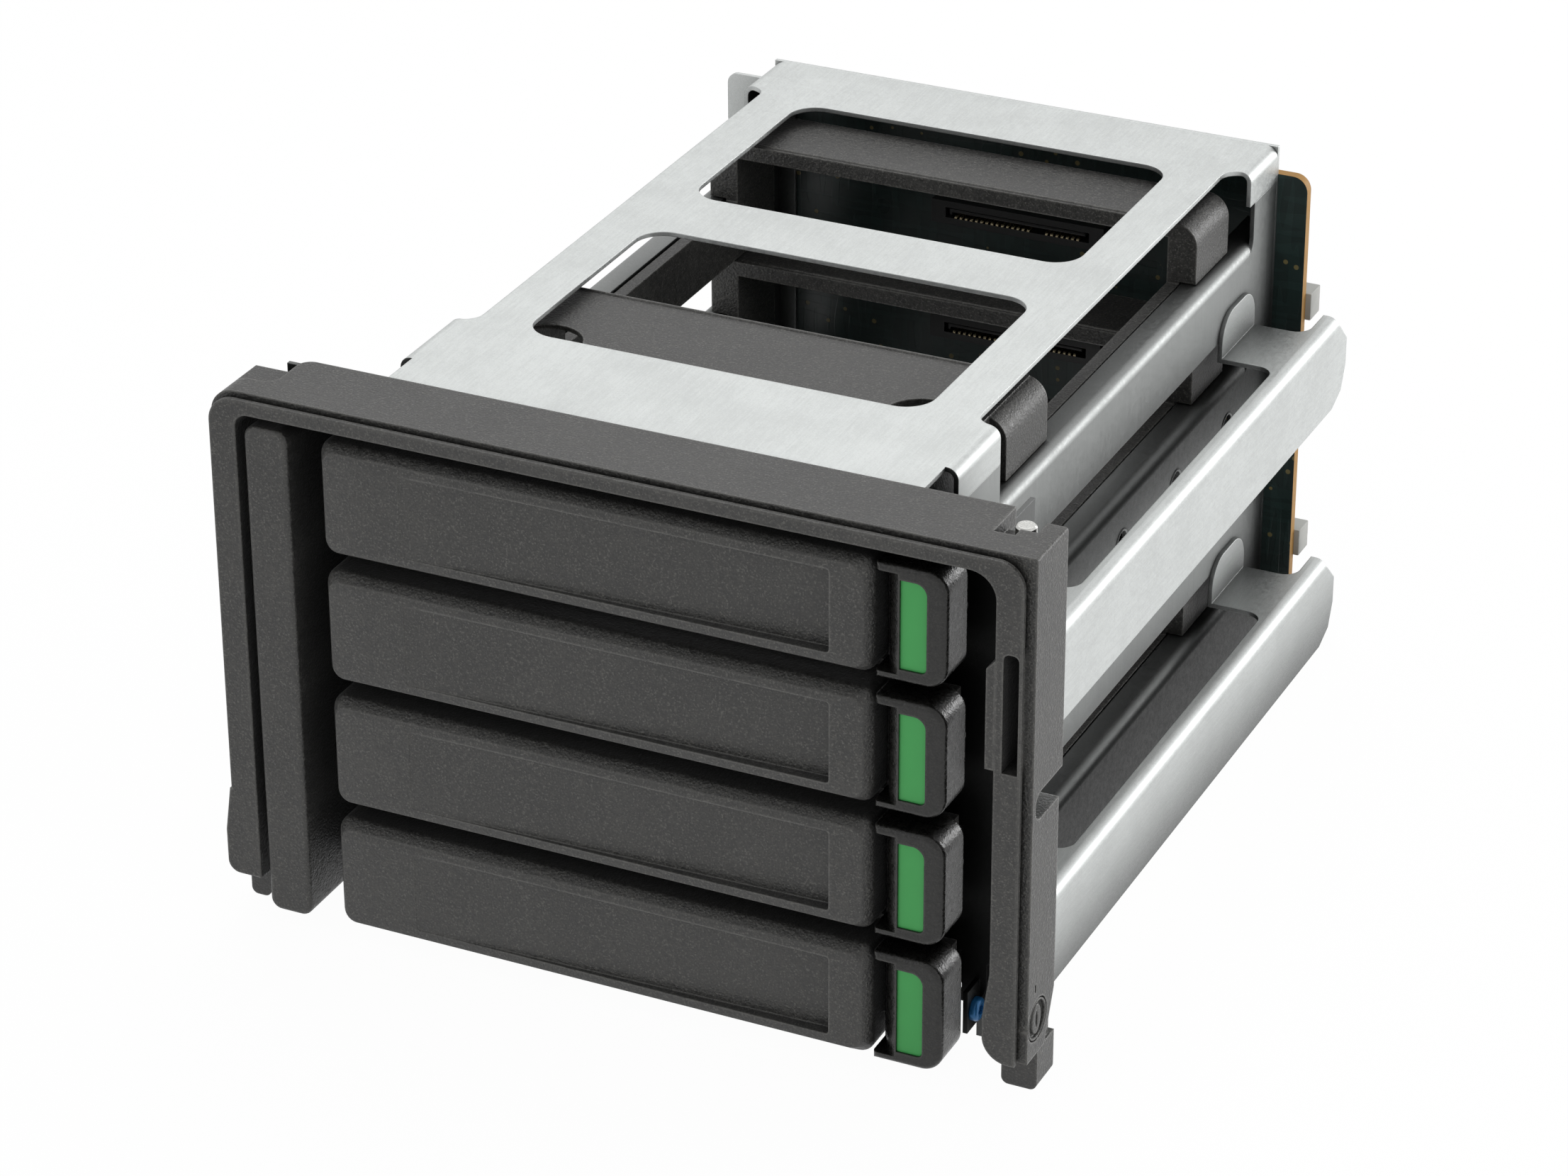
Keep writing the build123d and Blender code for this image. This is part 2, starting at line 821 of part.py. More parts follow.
# Feet under the legs; the right one has a ridge behind the leg's tapered end
for foot_name, foot_size, foot_x, ridge_top in (
    ("foot_right", foot_width, bezel_right - 0.3 - foot_width / 2, ridge_height),
    ("foot_left", foot_left_width, bezel_left - 1.0 + foot_left_width / 2, leg_bottom),
):
    with BuildPart() as foot:
        with BuildSketch(section_at(foot_start)) as foot_face:
            with Locations((foot_x, leg_bottom / 2)):
                Rectangle(foot_size, leg_bottom)
            fillet(foot_face.vertices().group_by(Axis.Y)[0], foot_corner)
        extrude(amount=-foot_length)
        with BuildSketch(section_at(ridge_start)):
            with Locations((foot_x, foot_corner)):
                Rectangle(
                    foot_size - 2 * ridge_inset,
                    ridge_top - foot_corner,
                    align=(Align.CENTER, Align.MIN),
                )
        extrude(amount=-ridge_length)
    save(foot.part, foot_name)

# Blue screw in the tab of the front frame: flange, cap and shank
with BuildPart() as blue_screw:
    for radius, length in (
        (blue_flange_radius, blue_flange_height),
        (blue_head_radius, blue_flange_height + blue_head_height),
        (screw_radius, -1.5 * sheet),
    ):
        with BuildSketch(Plane.YZ.offset(tab_x)):
            with Locations((y_at(blue_screw_depth), blue_screw_height)):
                Circle(radius)
        extrude(amount=length)
    fillet(blue_screw.faces().sort_by(Axis.X)[-1].edges(), blue_head_height / 3)
save(blue_screw.part, "blue_screw")

# Bay strip: a hollow cover that stands on the front frame
with BuildPart() as bay_strip:
    strip_x = panel_left - strip_gap - strip_width / 2
    strip_z = middle(strip_bottom, strip_top)
    with BuildSketch(section_at(0)):
        with Locations((strip_x, strip_z)):
            RectangleRounded(strip_width, strip_top - strip_bottom, strip_corner)
    extrude(amount=-frame_front)
    fillet(bay_strip.faces().sort_by(Axis.Y)[0].edges(), strip_edge)
    with BuildSketch(section_at(frame_front)):
        with Locations((strip_x, strip_z)):
            Rectangle(strip_width - 2 * strip_wall, strip_top - strip_bottom - 2 * strip_corner)
    extrude(amount=frame_front - 2 * strip_wall, mode=Mode.SUBTRACT)
save(bay_strip.part, "bay_strip")

# One bay, modelled in the lowest place and copied upwards
base = bay_base(bay_count)

# Panel: hollow moulding with a thumb recess that deepens to the right
with BuildPart() as panel:
    panel_x = middle(panel_left, panel_right)
    panel_z = base + panel_height / 2
    with BuildSketch(section_at(0)):
        with Locations((panel_x, panel_z)):
            RectangleRounded(panel_width, panel_height, panel_corner)
    extrude(amount=-panel_depth)
    fillet(panel.faces().sort_by(Axis.Y)[0].edges(), panel_edge)
    with BuildSketch(section_at(panel_depth)):
        with Locations((panel_x, panel_z)):
            Rectangle(panel_width - 2 * panel_border, panel_height - 2 * panel_border)
    extrude(amount=panel_depth - recess_depth - recess_back, mode=Mode.SUBTRACT)
    with BuildSketch(Plane.XY.offset(base + recess_margin)):
        with BuildLine():
            Polyline(
                (panel_left + recess_start, y_at(-1)),
                (panel_left + recess_start, y_at(0)),
                (panel_right - recess_end, y_at(recess_depth)),
                (panel_right - recess_end, y_at(-1)),
                close=True,
            )
        make_face()
    extrude(amount=panel_height - 2 * recess_margin, mode=Mode.SUBTRACT)
save_in_bays(panel.part, "panel")

# Carrier: block behind the panel, latch ears, decks, side rails and lugs
pin_level = base - drive_drop + drive_hole_height
ear_right = pivot_x + ear_width
with BuildPart() as carrier:
    with BuildSketch(section_at(panel_depth)):
        with Locations((cage_x, base + middle(block_low, deck_top))):
            Rectangle(2 * lug_reach, deck_top - block_low)
    extrude(amount=-(block_end - panel_depth))
    for low in (ear_low, ear_high - ear_thickness):
        with BuildSketch(Plane.XY.offset(base + low)):
            with Locations((cage_x + lug_reach, y_at(panel_depth))):
                Rectangle(
                    ear_right - cage_x - lug_reach,
                    block_end - panel_depth,
                    align=(Align.MIN, Align.MIN),
                )
            with Locations((pivot_x, y_at(pivot_depth))):
                Circle(pivot_radius, mode=Mode.SUBTRACT)
        extrude(amount=ear_thickness)
    for side in (-1, 1):
        inner = cage_x + side * rail_inner
        outer = cage_x + side * rail_outer
        lug_face = cage_x + side * lug_reach
        for low, high, end in (
            (-rail_low, ledge_height - lug_clearance, rear_lug_end),
            (0, deck_top, front_lug_end),
        ):
            with BuildSketch(section_at(block_end)):
                with Locations((middle(inner, outer), base + middle(low, high))):
                    Rectangle(rail_thickness, high - low)
            extrude(amount=-(end - block_end))
        for start, end in ((front_lug_start, front_lug_end), (rear_lug_start, rear_lug_end)):
            with BuildSketch(section_at(start)) as lug:
                with BuildLine():
                    Polyline(
                        (inner, base),
                        (inner, base + deck_top),
                        (lug_face, base + deck_top),
                        (lug_face, base + ledge_height + lug_clearance),
                        (outer, base + ledge_height + lug_clearance),
                        (outer, base),
                        close=True,
                    )
                make_face()
                fillet(corner_near(lug, lug_face, base + deck_top), lug_round)
            extrude(amount=-(end - start))
    with BuildSketch(Plane.XY.offset(base + deck_top - deck_thickness)):
        for start, end in ((block_end, front_lug_end), (rear_lug_start, rear_lug_end)):
            with Locations((cage_x, y_at(middle(start, end)))):
                Rectangle(2 * rail_inner, end - start)
        for side in (-1, 1):
            hole_x = cage_x + side * (rail_inner - deck_hole_inset)
            with Locations((hole_x, y_at(deck_hole_depth))):
                Circle(deck_hole_radius, mode=Mode.SUBTRACT)
    extrude(amount=deck_thickness)
    with BuildSketch(section_at(rear_lug_start)):
        with Locations((cage_x, base + deck_top - deck_thickness)):
            Rectangle(2 * rail_inner, rear_lip_height, align=(Align.CENTER, Align.MAX))
    extrude(amount=-rear_lip)
    for pin_depth in (front_pin_depth, rear_pin_depth):
        with BuildSketch(Plane.YZ.offset(cage_x)):
            with Locations((y_at(pin_depth), pin_level)):
                Circle(drive_pin_radius)
        extrude(amount=rail_outer + 1, both=True, mode=Mode.SUBTRACT)
save_in_bays(carrier.part, "carrier")

# Drive pins: a head outside the rail and a tip that reaches into the drive
pin_tip = drive_width / 2 - drive_pin_bite
with BuildPart() as drive_pins:
    for side in (-1, 1):
        for pin_depth in (front_pin_depth, rear_pin_depth):
            with BuildSketch(Plane.YZ.offset(cage_x + side * pin_tip)):
                with Locations((y_at(pin_depth), pin_level)):
                    Circle(drive_pin_radius)
            extrude(amount=side * (rail_outer - pin_tip))
            with BuildSketch(Plane.YZ.offset(cage_x + side * rail_outer)):
                with Locations((y_at(pin_depth), pin_level)):
                    Circle(drive_pin_head)
            extrude(amount=side * drive_pin_head_height)
save_in_bays(drive_pins.part, "drive_pins")

# Latch: finger scoop, bed for the pad, and a tail whose nose hooks behind the front frame
latch_z = base + panel_height / 2
pad_x = latch_left + pad_start + pad_width / 2
pad_corners = (
    (latch_z + pad_height / 2, pad_corner_high),
    (latch_z - pad_height / 2, pad_corner_low),
)
with BuildPart() as latch:
    with BuildSketch(section_at(latch_front)) as latch_face:
        with Locations((middle(latch_left, latch_right), latch_z)):
            Rectangle(latch_width, latch_height)
        fillet(latch_face.vertices().group_by(Axis.X)[-1], latch_corner)
    extrude(amount=-(latch_depth - latch_front))
    fillet(latch.faces().sort_by(Axis.Y)[0].edges(), latch_edge)
    with BuildSketch(Plane.XY.offset(latch_z)):
        with BuildLine():
            Polyline(
                (latch_left + scoop_floor, y_at(scoop_depth)),
                (latch_left - overshoot, y_at(scoop_depth)),
                (latch_left - overshoot, y_at(-overshoot)),
                (latch_left + scoop_width, y_at(-overshoot)),
                (latch_left + scoop_width, y_at(latch_front)),
            )
            SagittaArc(
                (latch_left + scoop_width, y_at(latch_front)),
                (latch_left + scoop_floor, y_at(scoop_depth)),
                scoop_depth * scoop_bulge * 0.4,
            )
        make_face()
    extrude(amount=latch_height / 2 - scoop_margin, both=True, mode=Mode.SUBTRACT)
    with BuildSketch(section_at(latch_front)) as bed:
        with Locations((pad_x, latch_z)):
            Rectangle(pad_width, pad_height)
        for up, radius in pad_corners:
            fillet(corner_near(bed, pad_x + pad_width / 2, up), radius)
    extrude(amount=-pad_bed, mode=Mode.SUBTRACT)
    with BuildSketch(Plane.XY.offset(base + tail_low)):
        with BuildLine():
            Polyline(
                (pivot_x - tail_left, y_at(latch_depth)),
                (pivot_x + tail_right, y_at(latch_depth)),
                (pivot_x + tail_right, y_at(nose_front)),
                (nose_right, y_at(nose_front)),
                (nose_right, y_at(nose_front + 1)),
                (pivot_x + tail_right, y_at(nose_front + nose_length)),
                (pivot_x + tail_right / 2, y_at(tail_end)),
                (pivot_x - tail_left, y_at(tail_end)),
                close=True,
            )
        make_face()
        with Locations((pivot_x, y_at(pivot_depth))):
            Circle(pivot_radius + running_clearance, mode=Mode.SUBTRACT)
    extrude(amount=tail_high - tail_low)
save_in_bays(latch.part, "latch")

# Green pad that lies in the latch's bed
with BuildPart() as latch_pad:
    with BuildSketch(section_at(latch_front + pad_bed - pad_thickness)) as pad_face:
        with Locations((pad_x, latch_z)):
            Rectangle(pad_width, pad_height)
        for up, radius in pad_corners:
            fillet(corner_near(pad_face, pad_x + pad_width / 2, up), radius)
    extrude(amount=-pad_thickness)
save_in_bays(latch_pad.part, "latch_pad")

# Pivot pin through the ears and the tail
with BuildPart() as latch_pin:
    with BuildSketch(Plane.XY.offset(base + ear_low)):
        with Locations((pivot_x, y_at(pivot_depth))):
            Circle(pivot_radius)
    extrude(amount=ear_high - ear_low)
save_in_bays(latch_pin.part, "latch_pin")

# Spring round the pin, above the tail
with BuildPart() as latch_spring:
    with BuildSketch(section_at(pivot_depth)):
        for turn in range(spring_turns):
            turn_level = base + tail_high + spring_wire * (turn + 0.5)
            with Locations((pivot_x + spring_inner + spring_wire / 2, turn_level)):
                RegularPolygon(spring_wire / 2, 6, major_radius=False)
    revolve(axis=Axis((pivot_x, y_at(pivot_depth), 0), (0, 0, 1)))
save_in_bays(latch_spring.part, "latch_spring")
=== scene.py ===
"""Four-bay hard drive cage: materials, fine pieces and stage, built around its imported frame."""

import math

import bmesh
import bpy
from mathutils import Matrix, Vector


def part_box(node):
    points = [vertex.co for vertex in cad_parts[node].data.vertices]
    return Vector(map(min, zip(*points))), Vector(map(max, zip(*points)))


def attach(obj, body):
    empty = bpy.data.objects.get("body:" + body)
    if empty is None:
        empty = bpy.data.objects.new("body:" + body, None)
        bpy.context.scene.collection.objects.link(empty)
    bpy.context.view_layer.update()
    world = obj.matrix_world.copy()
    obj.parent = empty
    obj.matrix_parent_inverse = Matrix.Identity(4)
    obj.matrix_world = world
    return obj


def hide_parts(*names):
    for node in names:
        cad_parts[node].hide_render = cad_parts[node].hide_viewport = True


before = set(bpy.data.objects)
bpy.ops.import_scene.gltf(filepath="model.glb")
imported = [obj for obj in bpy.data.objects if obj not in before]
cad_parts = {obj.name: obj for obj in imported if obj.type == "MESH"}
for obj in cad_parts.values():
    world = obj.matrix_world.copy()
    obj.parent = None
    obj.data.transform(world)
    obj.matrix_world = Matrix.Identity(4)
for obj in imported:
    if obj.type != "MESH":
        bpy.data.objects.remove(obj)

bl_info = {
    "name": "Hard drive cage",
    "version": (1, 0, 0),
    "blender": (4, 5, 0),
    "location": "View3D > Sidebar > Drive cage",
    "description": "Dresses a four-bay drive cage with its finishes and fine pieces",
    "category": "Object",
}

MM = 0.001
CAGE = "cage"
LOWEST_BAY = 4
UPPER_BAYS = (1, 2, 3)
BAYS = (*UPPER_BAYS, LOWEST_BAY)
HEADERS = ("rear_header_upper", "rear_header_lower")

ACROSS_PLATE = (1, 0.05, 1)
UP_THE_WALL = (1, 1, 0.05)

SOCKET_BLACK = (0.018, 0.018, 0.018)
HEADER_WHITE = (0.50, 0.50, 0.47)
STEEL = (0.62, 0.62, 0.60)
GOLD = (0.78, 0.66, 0.42)
BOARD_DOTS = (0.33, 0.26, 0.10)
PAPER = ((0.86, 0.86, 0.86), (0.89, 0.89, 0.89))
SKY = (0.97, 0.985, 1.0, 1)
PALE = (0.8, 0.8, 0.8, 1)

SENSOR = 36
CLIP = (0.05, 50)

# Name, place, target and size of each lamp; its power is the stage's value of that name
LAMPS = {
    "key": ("overhead", (-0.22, 0.50, 1.15), (0, 0, 0.06), (0.9, 0.9)),
    "side": ("side", (1.20, -0.15, 0.55), (0, 0, 0.06), (0.7, 0.9)),
    "rear": ("rear_right", (1.0, 1.25, 0.30), (0.05, 0, 0.06), (0.9, 0.5)),
    "front": ("front_left", (-0.9, -1.1, 0.75), (0, 0, 0.06), (0.8, 0.8)),
}


class CageFinishes(bpy.types.PropertyGroup):
    """Colours and surface sizes of the finishes"""

    zinc: bpy.props.FloatVectorProperty(
        name="Zinc", description="Colour of the zinc-coated sheet",
        subtype="COLOR", size=3, min=0, max=1, default=(0.60, 0.618, 0.61),
    )
    zinc_roughness: bpy.props.FloatProperty(
        name="Zinc roughness", description="Mean roughness of the sheet",
        min=0, max=1, default=0.50,
    )
    # Painted shade: the side walls' zinc is darkened to stand in for the shade they lie in
    wall_painted_shade: bpy.props.FloatProperty(
        name="Wall shade", description="Brightness of the side walls against the other sheet",
        min=0, max=1, default=0.56,
    )
    # Painted shade: the front frame's zinc is darkened to stand in for the shade behind the bezel
    frame_painted_shade: bpy.props.FloatProperty(
        name="Front frame shade", description="Brightness of the folded frame behind the bezel",
        min=0, max=1, default=0.25,
    )
    black: bpy.props.FloatVectorProperty(
        name="Black plastic", description="Colour of the black mouldings",
        subtype="COLOR", size=3, min=0, max=1, default=(0.032, 0.031, 0.028),
    )
    grain: bpy.props.FloatProperty(
        name="Grain", description="Size of the grain moulded into the plastic",
        subtype="DISTANCE", unit="LENGTH", min=0.0001, max=0.002, default=0.00042,
    )
    green: bpy.props.FloatVectorProperty(
        name="Green plastic", description="Colour of the touch pads",
        subtype="COLOR", size=3, min=0, max=1, default=(0.080, 0.50, 0.125),
    )
    board: bpy.props.FloatVectorProperty(
        name="Board", description="Colour of the board's coating",
        subtype="COLOR", size=3, min=0, max=1, default=(0.014, 0.030, 0.027),
    )
    board_core: bpy.props.FloatVectorProperty(
        name="Board core", description="Colour of the board's bare edge",
        subtype="COLOR", size=3, min=0, max=1, default=(0.50, 0.27, 0.075),
    )
    blue: bpy.props.FloatVectorProperty(
        name="Blue coating", description="Colour of the small blue screw",
        subtype="COLOR", size=3, min=0, max=1, default=(0.012, 0.13, 0.33),
    )


class CageShapes(bpy.types.PropertyGroup):
    """Sizes of the modelled pieces"""

    panel_slope: bpy.props.FloatProperty(
        name="Panel slope", description="Width of the sloped border round a panel's front",
        subtype="DISTANCE", unit="LENGTH", default=0.0017,
    )
    panel_corner: bpy.props.FloatProperty(
        name="Panel corner", description="Corner radius of a panel's front",
        subtype="DISTANCE", unit="LENGTH", default=0.0026,
    )
    recess_margin: bpy.props.FloatProperty(
        name="Recess margin", description="Height left above and below the thumb recess",
        subtype="DISTANCE", unit="LENGTH", default=0.0036,
    )
    recess_left: bpy.props.FloatProperty(
        name="Recess start", description="Distance of the recess from the panel's left end",
        subtype="DISTANCE", unit="LENGTH", default=0.0185,
    )
    recess_right: bpy.props.FloatProperty(
        name="Recess end", description="Distance of the recess from the panel's right end",
        subtype="DISTANCE", unit="LENGTH", default=0.0087,
    )
    slope_depth: bpy.props.FloatProperty(
        name="Slope depth", description="How far back the sloped border reaches",
        subtype="DISTANCE", unit="LENGTH", default=0.0026,
    )
    front_edge: bpy.props.FloatProperty(
        name="Front edge", description="Width of the bevel round a panel's front",
        subtype="DISTANCE", unit="LENGTH", default=0.00028,
    )
    shoulder: bpy.props.FloatProperty(
        name="Shoulder", description="Width of the bevel where the slope meets the sides",
        subtype="DISTANCE", unit="LENGTH", default=0.0007,
    )
    recess_step: bpy.props.FloatProperty(
        name="Recess step", description="Depth of the recess at its left end",
        subtype="DISTANCE", unit="LENGTH", default=0.00005,
    )
    recess_depth: bpy.props.FloatProperty(
        name="Recess depth", description="How much deeper the recess is at its right end",
        subtype="DISTANCE", unit="LENGTH", default=0.0025,
    )


class CageStage(bpy.types.PropertyGroup):
    """Floor, lamps and camera"""

    floor_size: bpy.props.FloatProperty(
        name="Floor size", description="Side of the square floor",
        subtype="DISTANCE", unit="LENGTH", min=1, max=40, default=12,
    )
    lens: bpy.props.FloatProperty(
        name="Lens", description="Focal length in millimetres", min=20, max=300, default=114.78,
    )
    eye: bpy.props.FloatVectorProperty(
        name="Eye", description="Place of the camera",
        subtype="XYZ", unit="LENGTH", size=3, default=(0.39639, -0.86364, 0.54316),
    )
    azimuth: bpy.props.FloatProperty(
        name="Azimuth", description="How far the camera stands to the right",
        subtype="ANGLE", default=math.radians(25.376),
    )
    elevation: bpy.props.FloatProperty(
        name="Elevation", description="How far the camera looks down",
        subtype="ANGLE", default=math.radians(27.736),
    )
    roll: bpy.props.FloatProperty(
        name="Roll", description="Turn of the picture",
        subtype="ANGLE", default=math.radians(-0.199),
    )
    key: bpy.props.FloatProperty(
        name="Key lamp", description="Power of the lamp overhead",
        subtype="POWER", unit="POWER", min=0, default=4.0,
    )
    side: bpy.props.FloatProperty(
        name="Side lamp", description="Power of the lamp at the right",
        subtype="POWER", unit="POWER", min=0, default=2,
    )
    front: bpy.props.FloatProperty(
        name="Front lamp", description="Power of the lamp at the front left",
        subtype="POWER", unit="POWER", min=0, default=1.6,
    )
    rear: bpy.props.FloatProperty(
        name="Rear lamp", description="Power of the lamp at the rear right",
        subtype="POWER", unit="POWER", min=0, default=9,
    )
    ambient: bpy.props.FloatProperty(
        name="Ambient", description="Strength of the light from all round", min=0, default=0.34,
    )
    glow: bpy.props.FloatProperty(
        name="Floor glow", description="Strength of the floor's own light", min=0, default=1.02,
    )
    glow_share: bpy.props.FloatProperty(
        name="Glow share", description="Share of that light in what is seen of the floor",
        min=0, max=1, default=0.95,
    )


class Wire:
    """Output of a shader node that takes part in arithmetic."""

    def __init__(self, graph, socket):
        self.graph = graph
        self.socket = socket

    def combine(self, operation, first, second):
        """One operation on two values."""
        return self.graph.add("ShaderNodeMath", {"operation": operation}, {0: first, 1: second})

    def __add__(self, other):
        return self.combine("ADD", self, other)

    def __sub__(self, other):
        return self.combine("SUBTRACT", self, other)

    def __mul__(self, other):
        return self.combine("MULTIPLY", self, other)


class Graph:
    """Node tree of a material or of the world."""

    def __init__(self, owner):
        owner.use_nodes = True
        self.owner = owner
        self.tree = owner.node_tree
        self.tree.nodes.clear()

    def add(self, kind, settings=None, inputs=None, output=0):
        """A node with its settings, then the values or links of its inputs; gives one output."""
        node = self.tree.nodes.new(kind)
        for name, value in (settings or {}).items():
            setattr(node, name, value)
        for name, value in (inputs or {}).items():
            socket = node.inputs[name]
            if isinstance(value, Wire):
                self.tree.links.new(value.socket, socket)
            else:
                socket.default_value = value
        return Wire(self, node.outputs[output]) if node.outputs else None

    def place(self, stretch=(1, 1, 1)):
        """Position in the object's own frame, stretched along its axes."""
        place = self.add("ShaderNodeTexCoord", output="Object")
        if stretch == (1, 1, 1):
            return place
        return self.add("ShaderNodeMapping", None, {"Vector": place, "Scale": stretch})

    def noise(self, size, detail=2.0, roughness=0.5, stretch=(1, 1, 1)):
        """Cloudy values round one half, with features of this size in metres."""
        inputs = {
            "Vector": self.place(stretch), "Scale": 1 / size,
            "Detail": detail, "Roughness": roughness,
        }
        return self.add("ShaderNodeTexNoise", {"noise_dimensions": "3D"}, inputs)

    def cells(self, size):
        """Distance to the nearest of scattered points that lie about this far apart."""
        inputs = {"Vector": self.place(), "Scale": 1 / size}
        return self.add("ShaderNodeTexVoronoi", {"feature": "F1"}, inputs)

    def ease(self, value, low, high, to_low=0.0, to_high=1.0):
        """Value carried smoothly from one range into another and held at its ends."""
        inputs = {
            "Value": value, "From Min": low, "From Max": high,
            "To Min": to_low, "To Max": to_high,
        }
        return self.add("ShaderNodeMapRange", {"interpolation_type": "SMOOTHSTEP"}, inputs)

    def blend(self, factor, first, second):
        """Colour between two others."""
        pair = [value if isinstance(value, Wire) else (*value, 1) for value in (first, second)]
        inputs = {0: factor, 6: pair[0], 7: pair[1]}
        return self.add("ShaderNodeMix", {"data_type": "RGBA"}, inputs, 2)

    def rounded(self, radius):
        """Normal that runs round sharp edges."""
        return self.add("ShaderNodeBevel", {"samples": 6}, {"Radius": radius})

    def edges(self, radius, full=0.80):
        """One where an edge at least this sharp is near, zero on open faces."""
        soft = self.rounded(radius)
        flat = self.add("ShaderNodeNewGeometry", output="Normal")
        settings = {"operation": "DOT_PRODUCT"}
        turn = self.add("ShaderNodeVectorMath", settings, {0: soft, 1: flat}, "Value")
        return self.ease(turn, 0.997, full)

    def openness_for_painted_shade(self, reach):
        """One on open faces, less where something within this reach stands over them; used to
        paint shade into colours.
        """
        settings = {"samples": 6}
        return self.add("ShaderNodeAmbientOcclusion", settings, {"Distance": reach}, "AO")

    def bump(self, height, depth, strength, normal):
        """Normal of a relief whose height is given from 0 to 1 and its depth in metres."""
        inputs = {"Height": height, "Distance": depth, "Strength": strength, "Normal": normal}
        return self.add("ShaderNodeBump", None, inputs)

    def finish(self, colour, roughness, metallic, normal, **constants):
        """Joins everything to one surface shader and gives the material."""
        inputs = {
            "Base Color": colour, "Roughness": roughness, "Metallic": metallic, "Normal": normal,
        }
        inputs.update({name.replace("_", " "): value for name, value in constants.items()})
        surface = self.add("ShaderNodeBsdfPrincipled", None, inputs)
        self.add("ShaderNodeOutputMaterial", None, {"Surface": surface})
        return self.owner


def painted(name):
    """Node tree of a new material; the record's plain materials keep their own names."""
    return Graph(bpy.data.materials.new(f"cage_{name}"))


def tint(colour, factor):
    """A colour made darker or lighter."""
    return tuple(min(1.0, part * factor) for part in colour)


def zinc_sheet(finish, name="zinc_sheet", shade=1.0, along=ACROSS_PLATE):
    """Zinc-coated sheet: fine frost, faint rolling lines and hardly any clouding, with a painted
    highlight along its edges and painted shade in its hollows.
    """
    g = painted(name)
    # A shade below one darkens the whole sheet; for the side walls and the front frame this is
    # painted shade
    zinc = tint(finish.zinc, shade)
    clouds = g.noise(0.016, 3, 0.55)
    lines = g.noise(0.0004, 2, 0.6, along)
    frost = g.noise(0.00032, 2, 0.65)
    flecks = g.noise(0.0011, 3, 0.7)
    edge = g.edges(0.0005)
    mottle = clouds * 0.22 + lines * 0.20 + frost * 0.38 + flecks * 0.20
    colour = g.blend(g.ease(mottle, 0.38, 0.62), tint(zinc, 0.90), tint(zinc, 1.08))
    # Painted highlight: the sheet's colour is made lighter along its edges and folds
    colour = g.blend(edge * 0.4, colour, tint(zinc, 1.1))
    # Painted shade: the colour darkens towards near black where other parts stand close over the
    # sheet, in channels, corners and gaps
    colour = g.blend(g.ease(g.openness_for_painted_shade(0.028), 0.35, 0.96), tint(zinc, 0.10), colour)
    rough = finish.zinc_roughness
    roughness = g.ease(flecks * 0.5 + frost * 0.5, 0.3, 0.7, rough - 0.07, rough + 0.10)
    relief = lines * 0.45 + frost * 0.55
    normal = g.bump(relief, 0.000014, 0.7, g.rounded(0.00035))
    return g.finish(colour, roughness, 1.0, normal)


def black_plastic(
    finish, name="black_plastic", grain_depth=0.00024, shade=1.0, smoother=0.0,
    ior=1.58, sheen=0.12,
):
    """Moulded plastic with fine grain, worn smooth along its edges, where its colour is lighter
    as part wear and part painted highlight, and with painted shade in its recesses.
    """
    g = painted(name)
    black = tint(finish.black, shade)
    size = finish.grain
    grain = g.noise(size, 2, 0.6)
    pits = g.cells(size * 1.5)
    leather = g.noise(size * 3, 2, 0.5)
    clouds = g.noise(0.018, 2, 0.5)
    patches = g.noise(0.0022, 3, 0.6)
    edge = g.edges(0.0007, full=0.962)
    relief = grain * 0.45 + pits * 0.3 + leather * 0.25
    mottle = g.ease(clouds * 0.2 + leather * 0.4 + grain * 0.4, 0.40, 0.60)
    colour = g.blend(mottle, tint(black, 0.50), tint(black, 1.45))
    specks = g.ease(grain, 0.56, 0.68)
    colour = g.blend(specks * (0.9 - 3 * smoother), colour, tint(black, 4.2))
    # Lighter line along the edges: part edge wear, part painted highlight
    rubbed_and_lit_edge = edge * g.ease(patches, 0.34, 0.56, 0.30, 1.0)
    colour = g.blend(rubbed_and_lit_edge * 0.75, colour, tint(black, 5.5))
    # Painted shade: the colour darkens where other parts stand close over the plastic, in
    # recesses and gaps
    colour = g.blend(g.ease(g.openness_for_painted_shade(0.016), 0.2, 0.75), tint(black, 0.15), colour)
    roughness = g.ease(edge, 0.0, 1.0, 0.46 - smoother, 0.28 - 0.5 * smoother)
    roughness = roughness + (leather - 0.5) * 0.30
    normal = g.bump(relief, grain_depth, 1.0, g.rounded(0.00045))
    return g.finish(colour, roughness, 0.0, normal, IOR=ior, Sheen_Weight=sheen)


def green_plastic(finish):
    """Smooth satin touch pad."""
    g = painted("green_plastic")
    cloud = g.noise(0.006, 2)
    fine = g.noise(0.00025, 2)
    colour = g.blend(cloud, tint(finish.green, 0.94), tint(finish.green, 1.08))
    roughness = g.ease(fine, 0.3, 0.7, 0.42, 0.52)
    normal = g.bump(fine, 0.000012, 0.7, g.rounded(0.0002))
    return g.finish(colour, roughness, 0.0, normal)


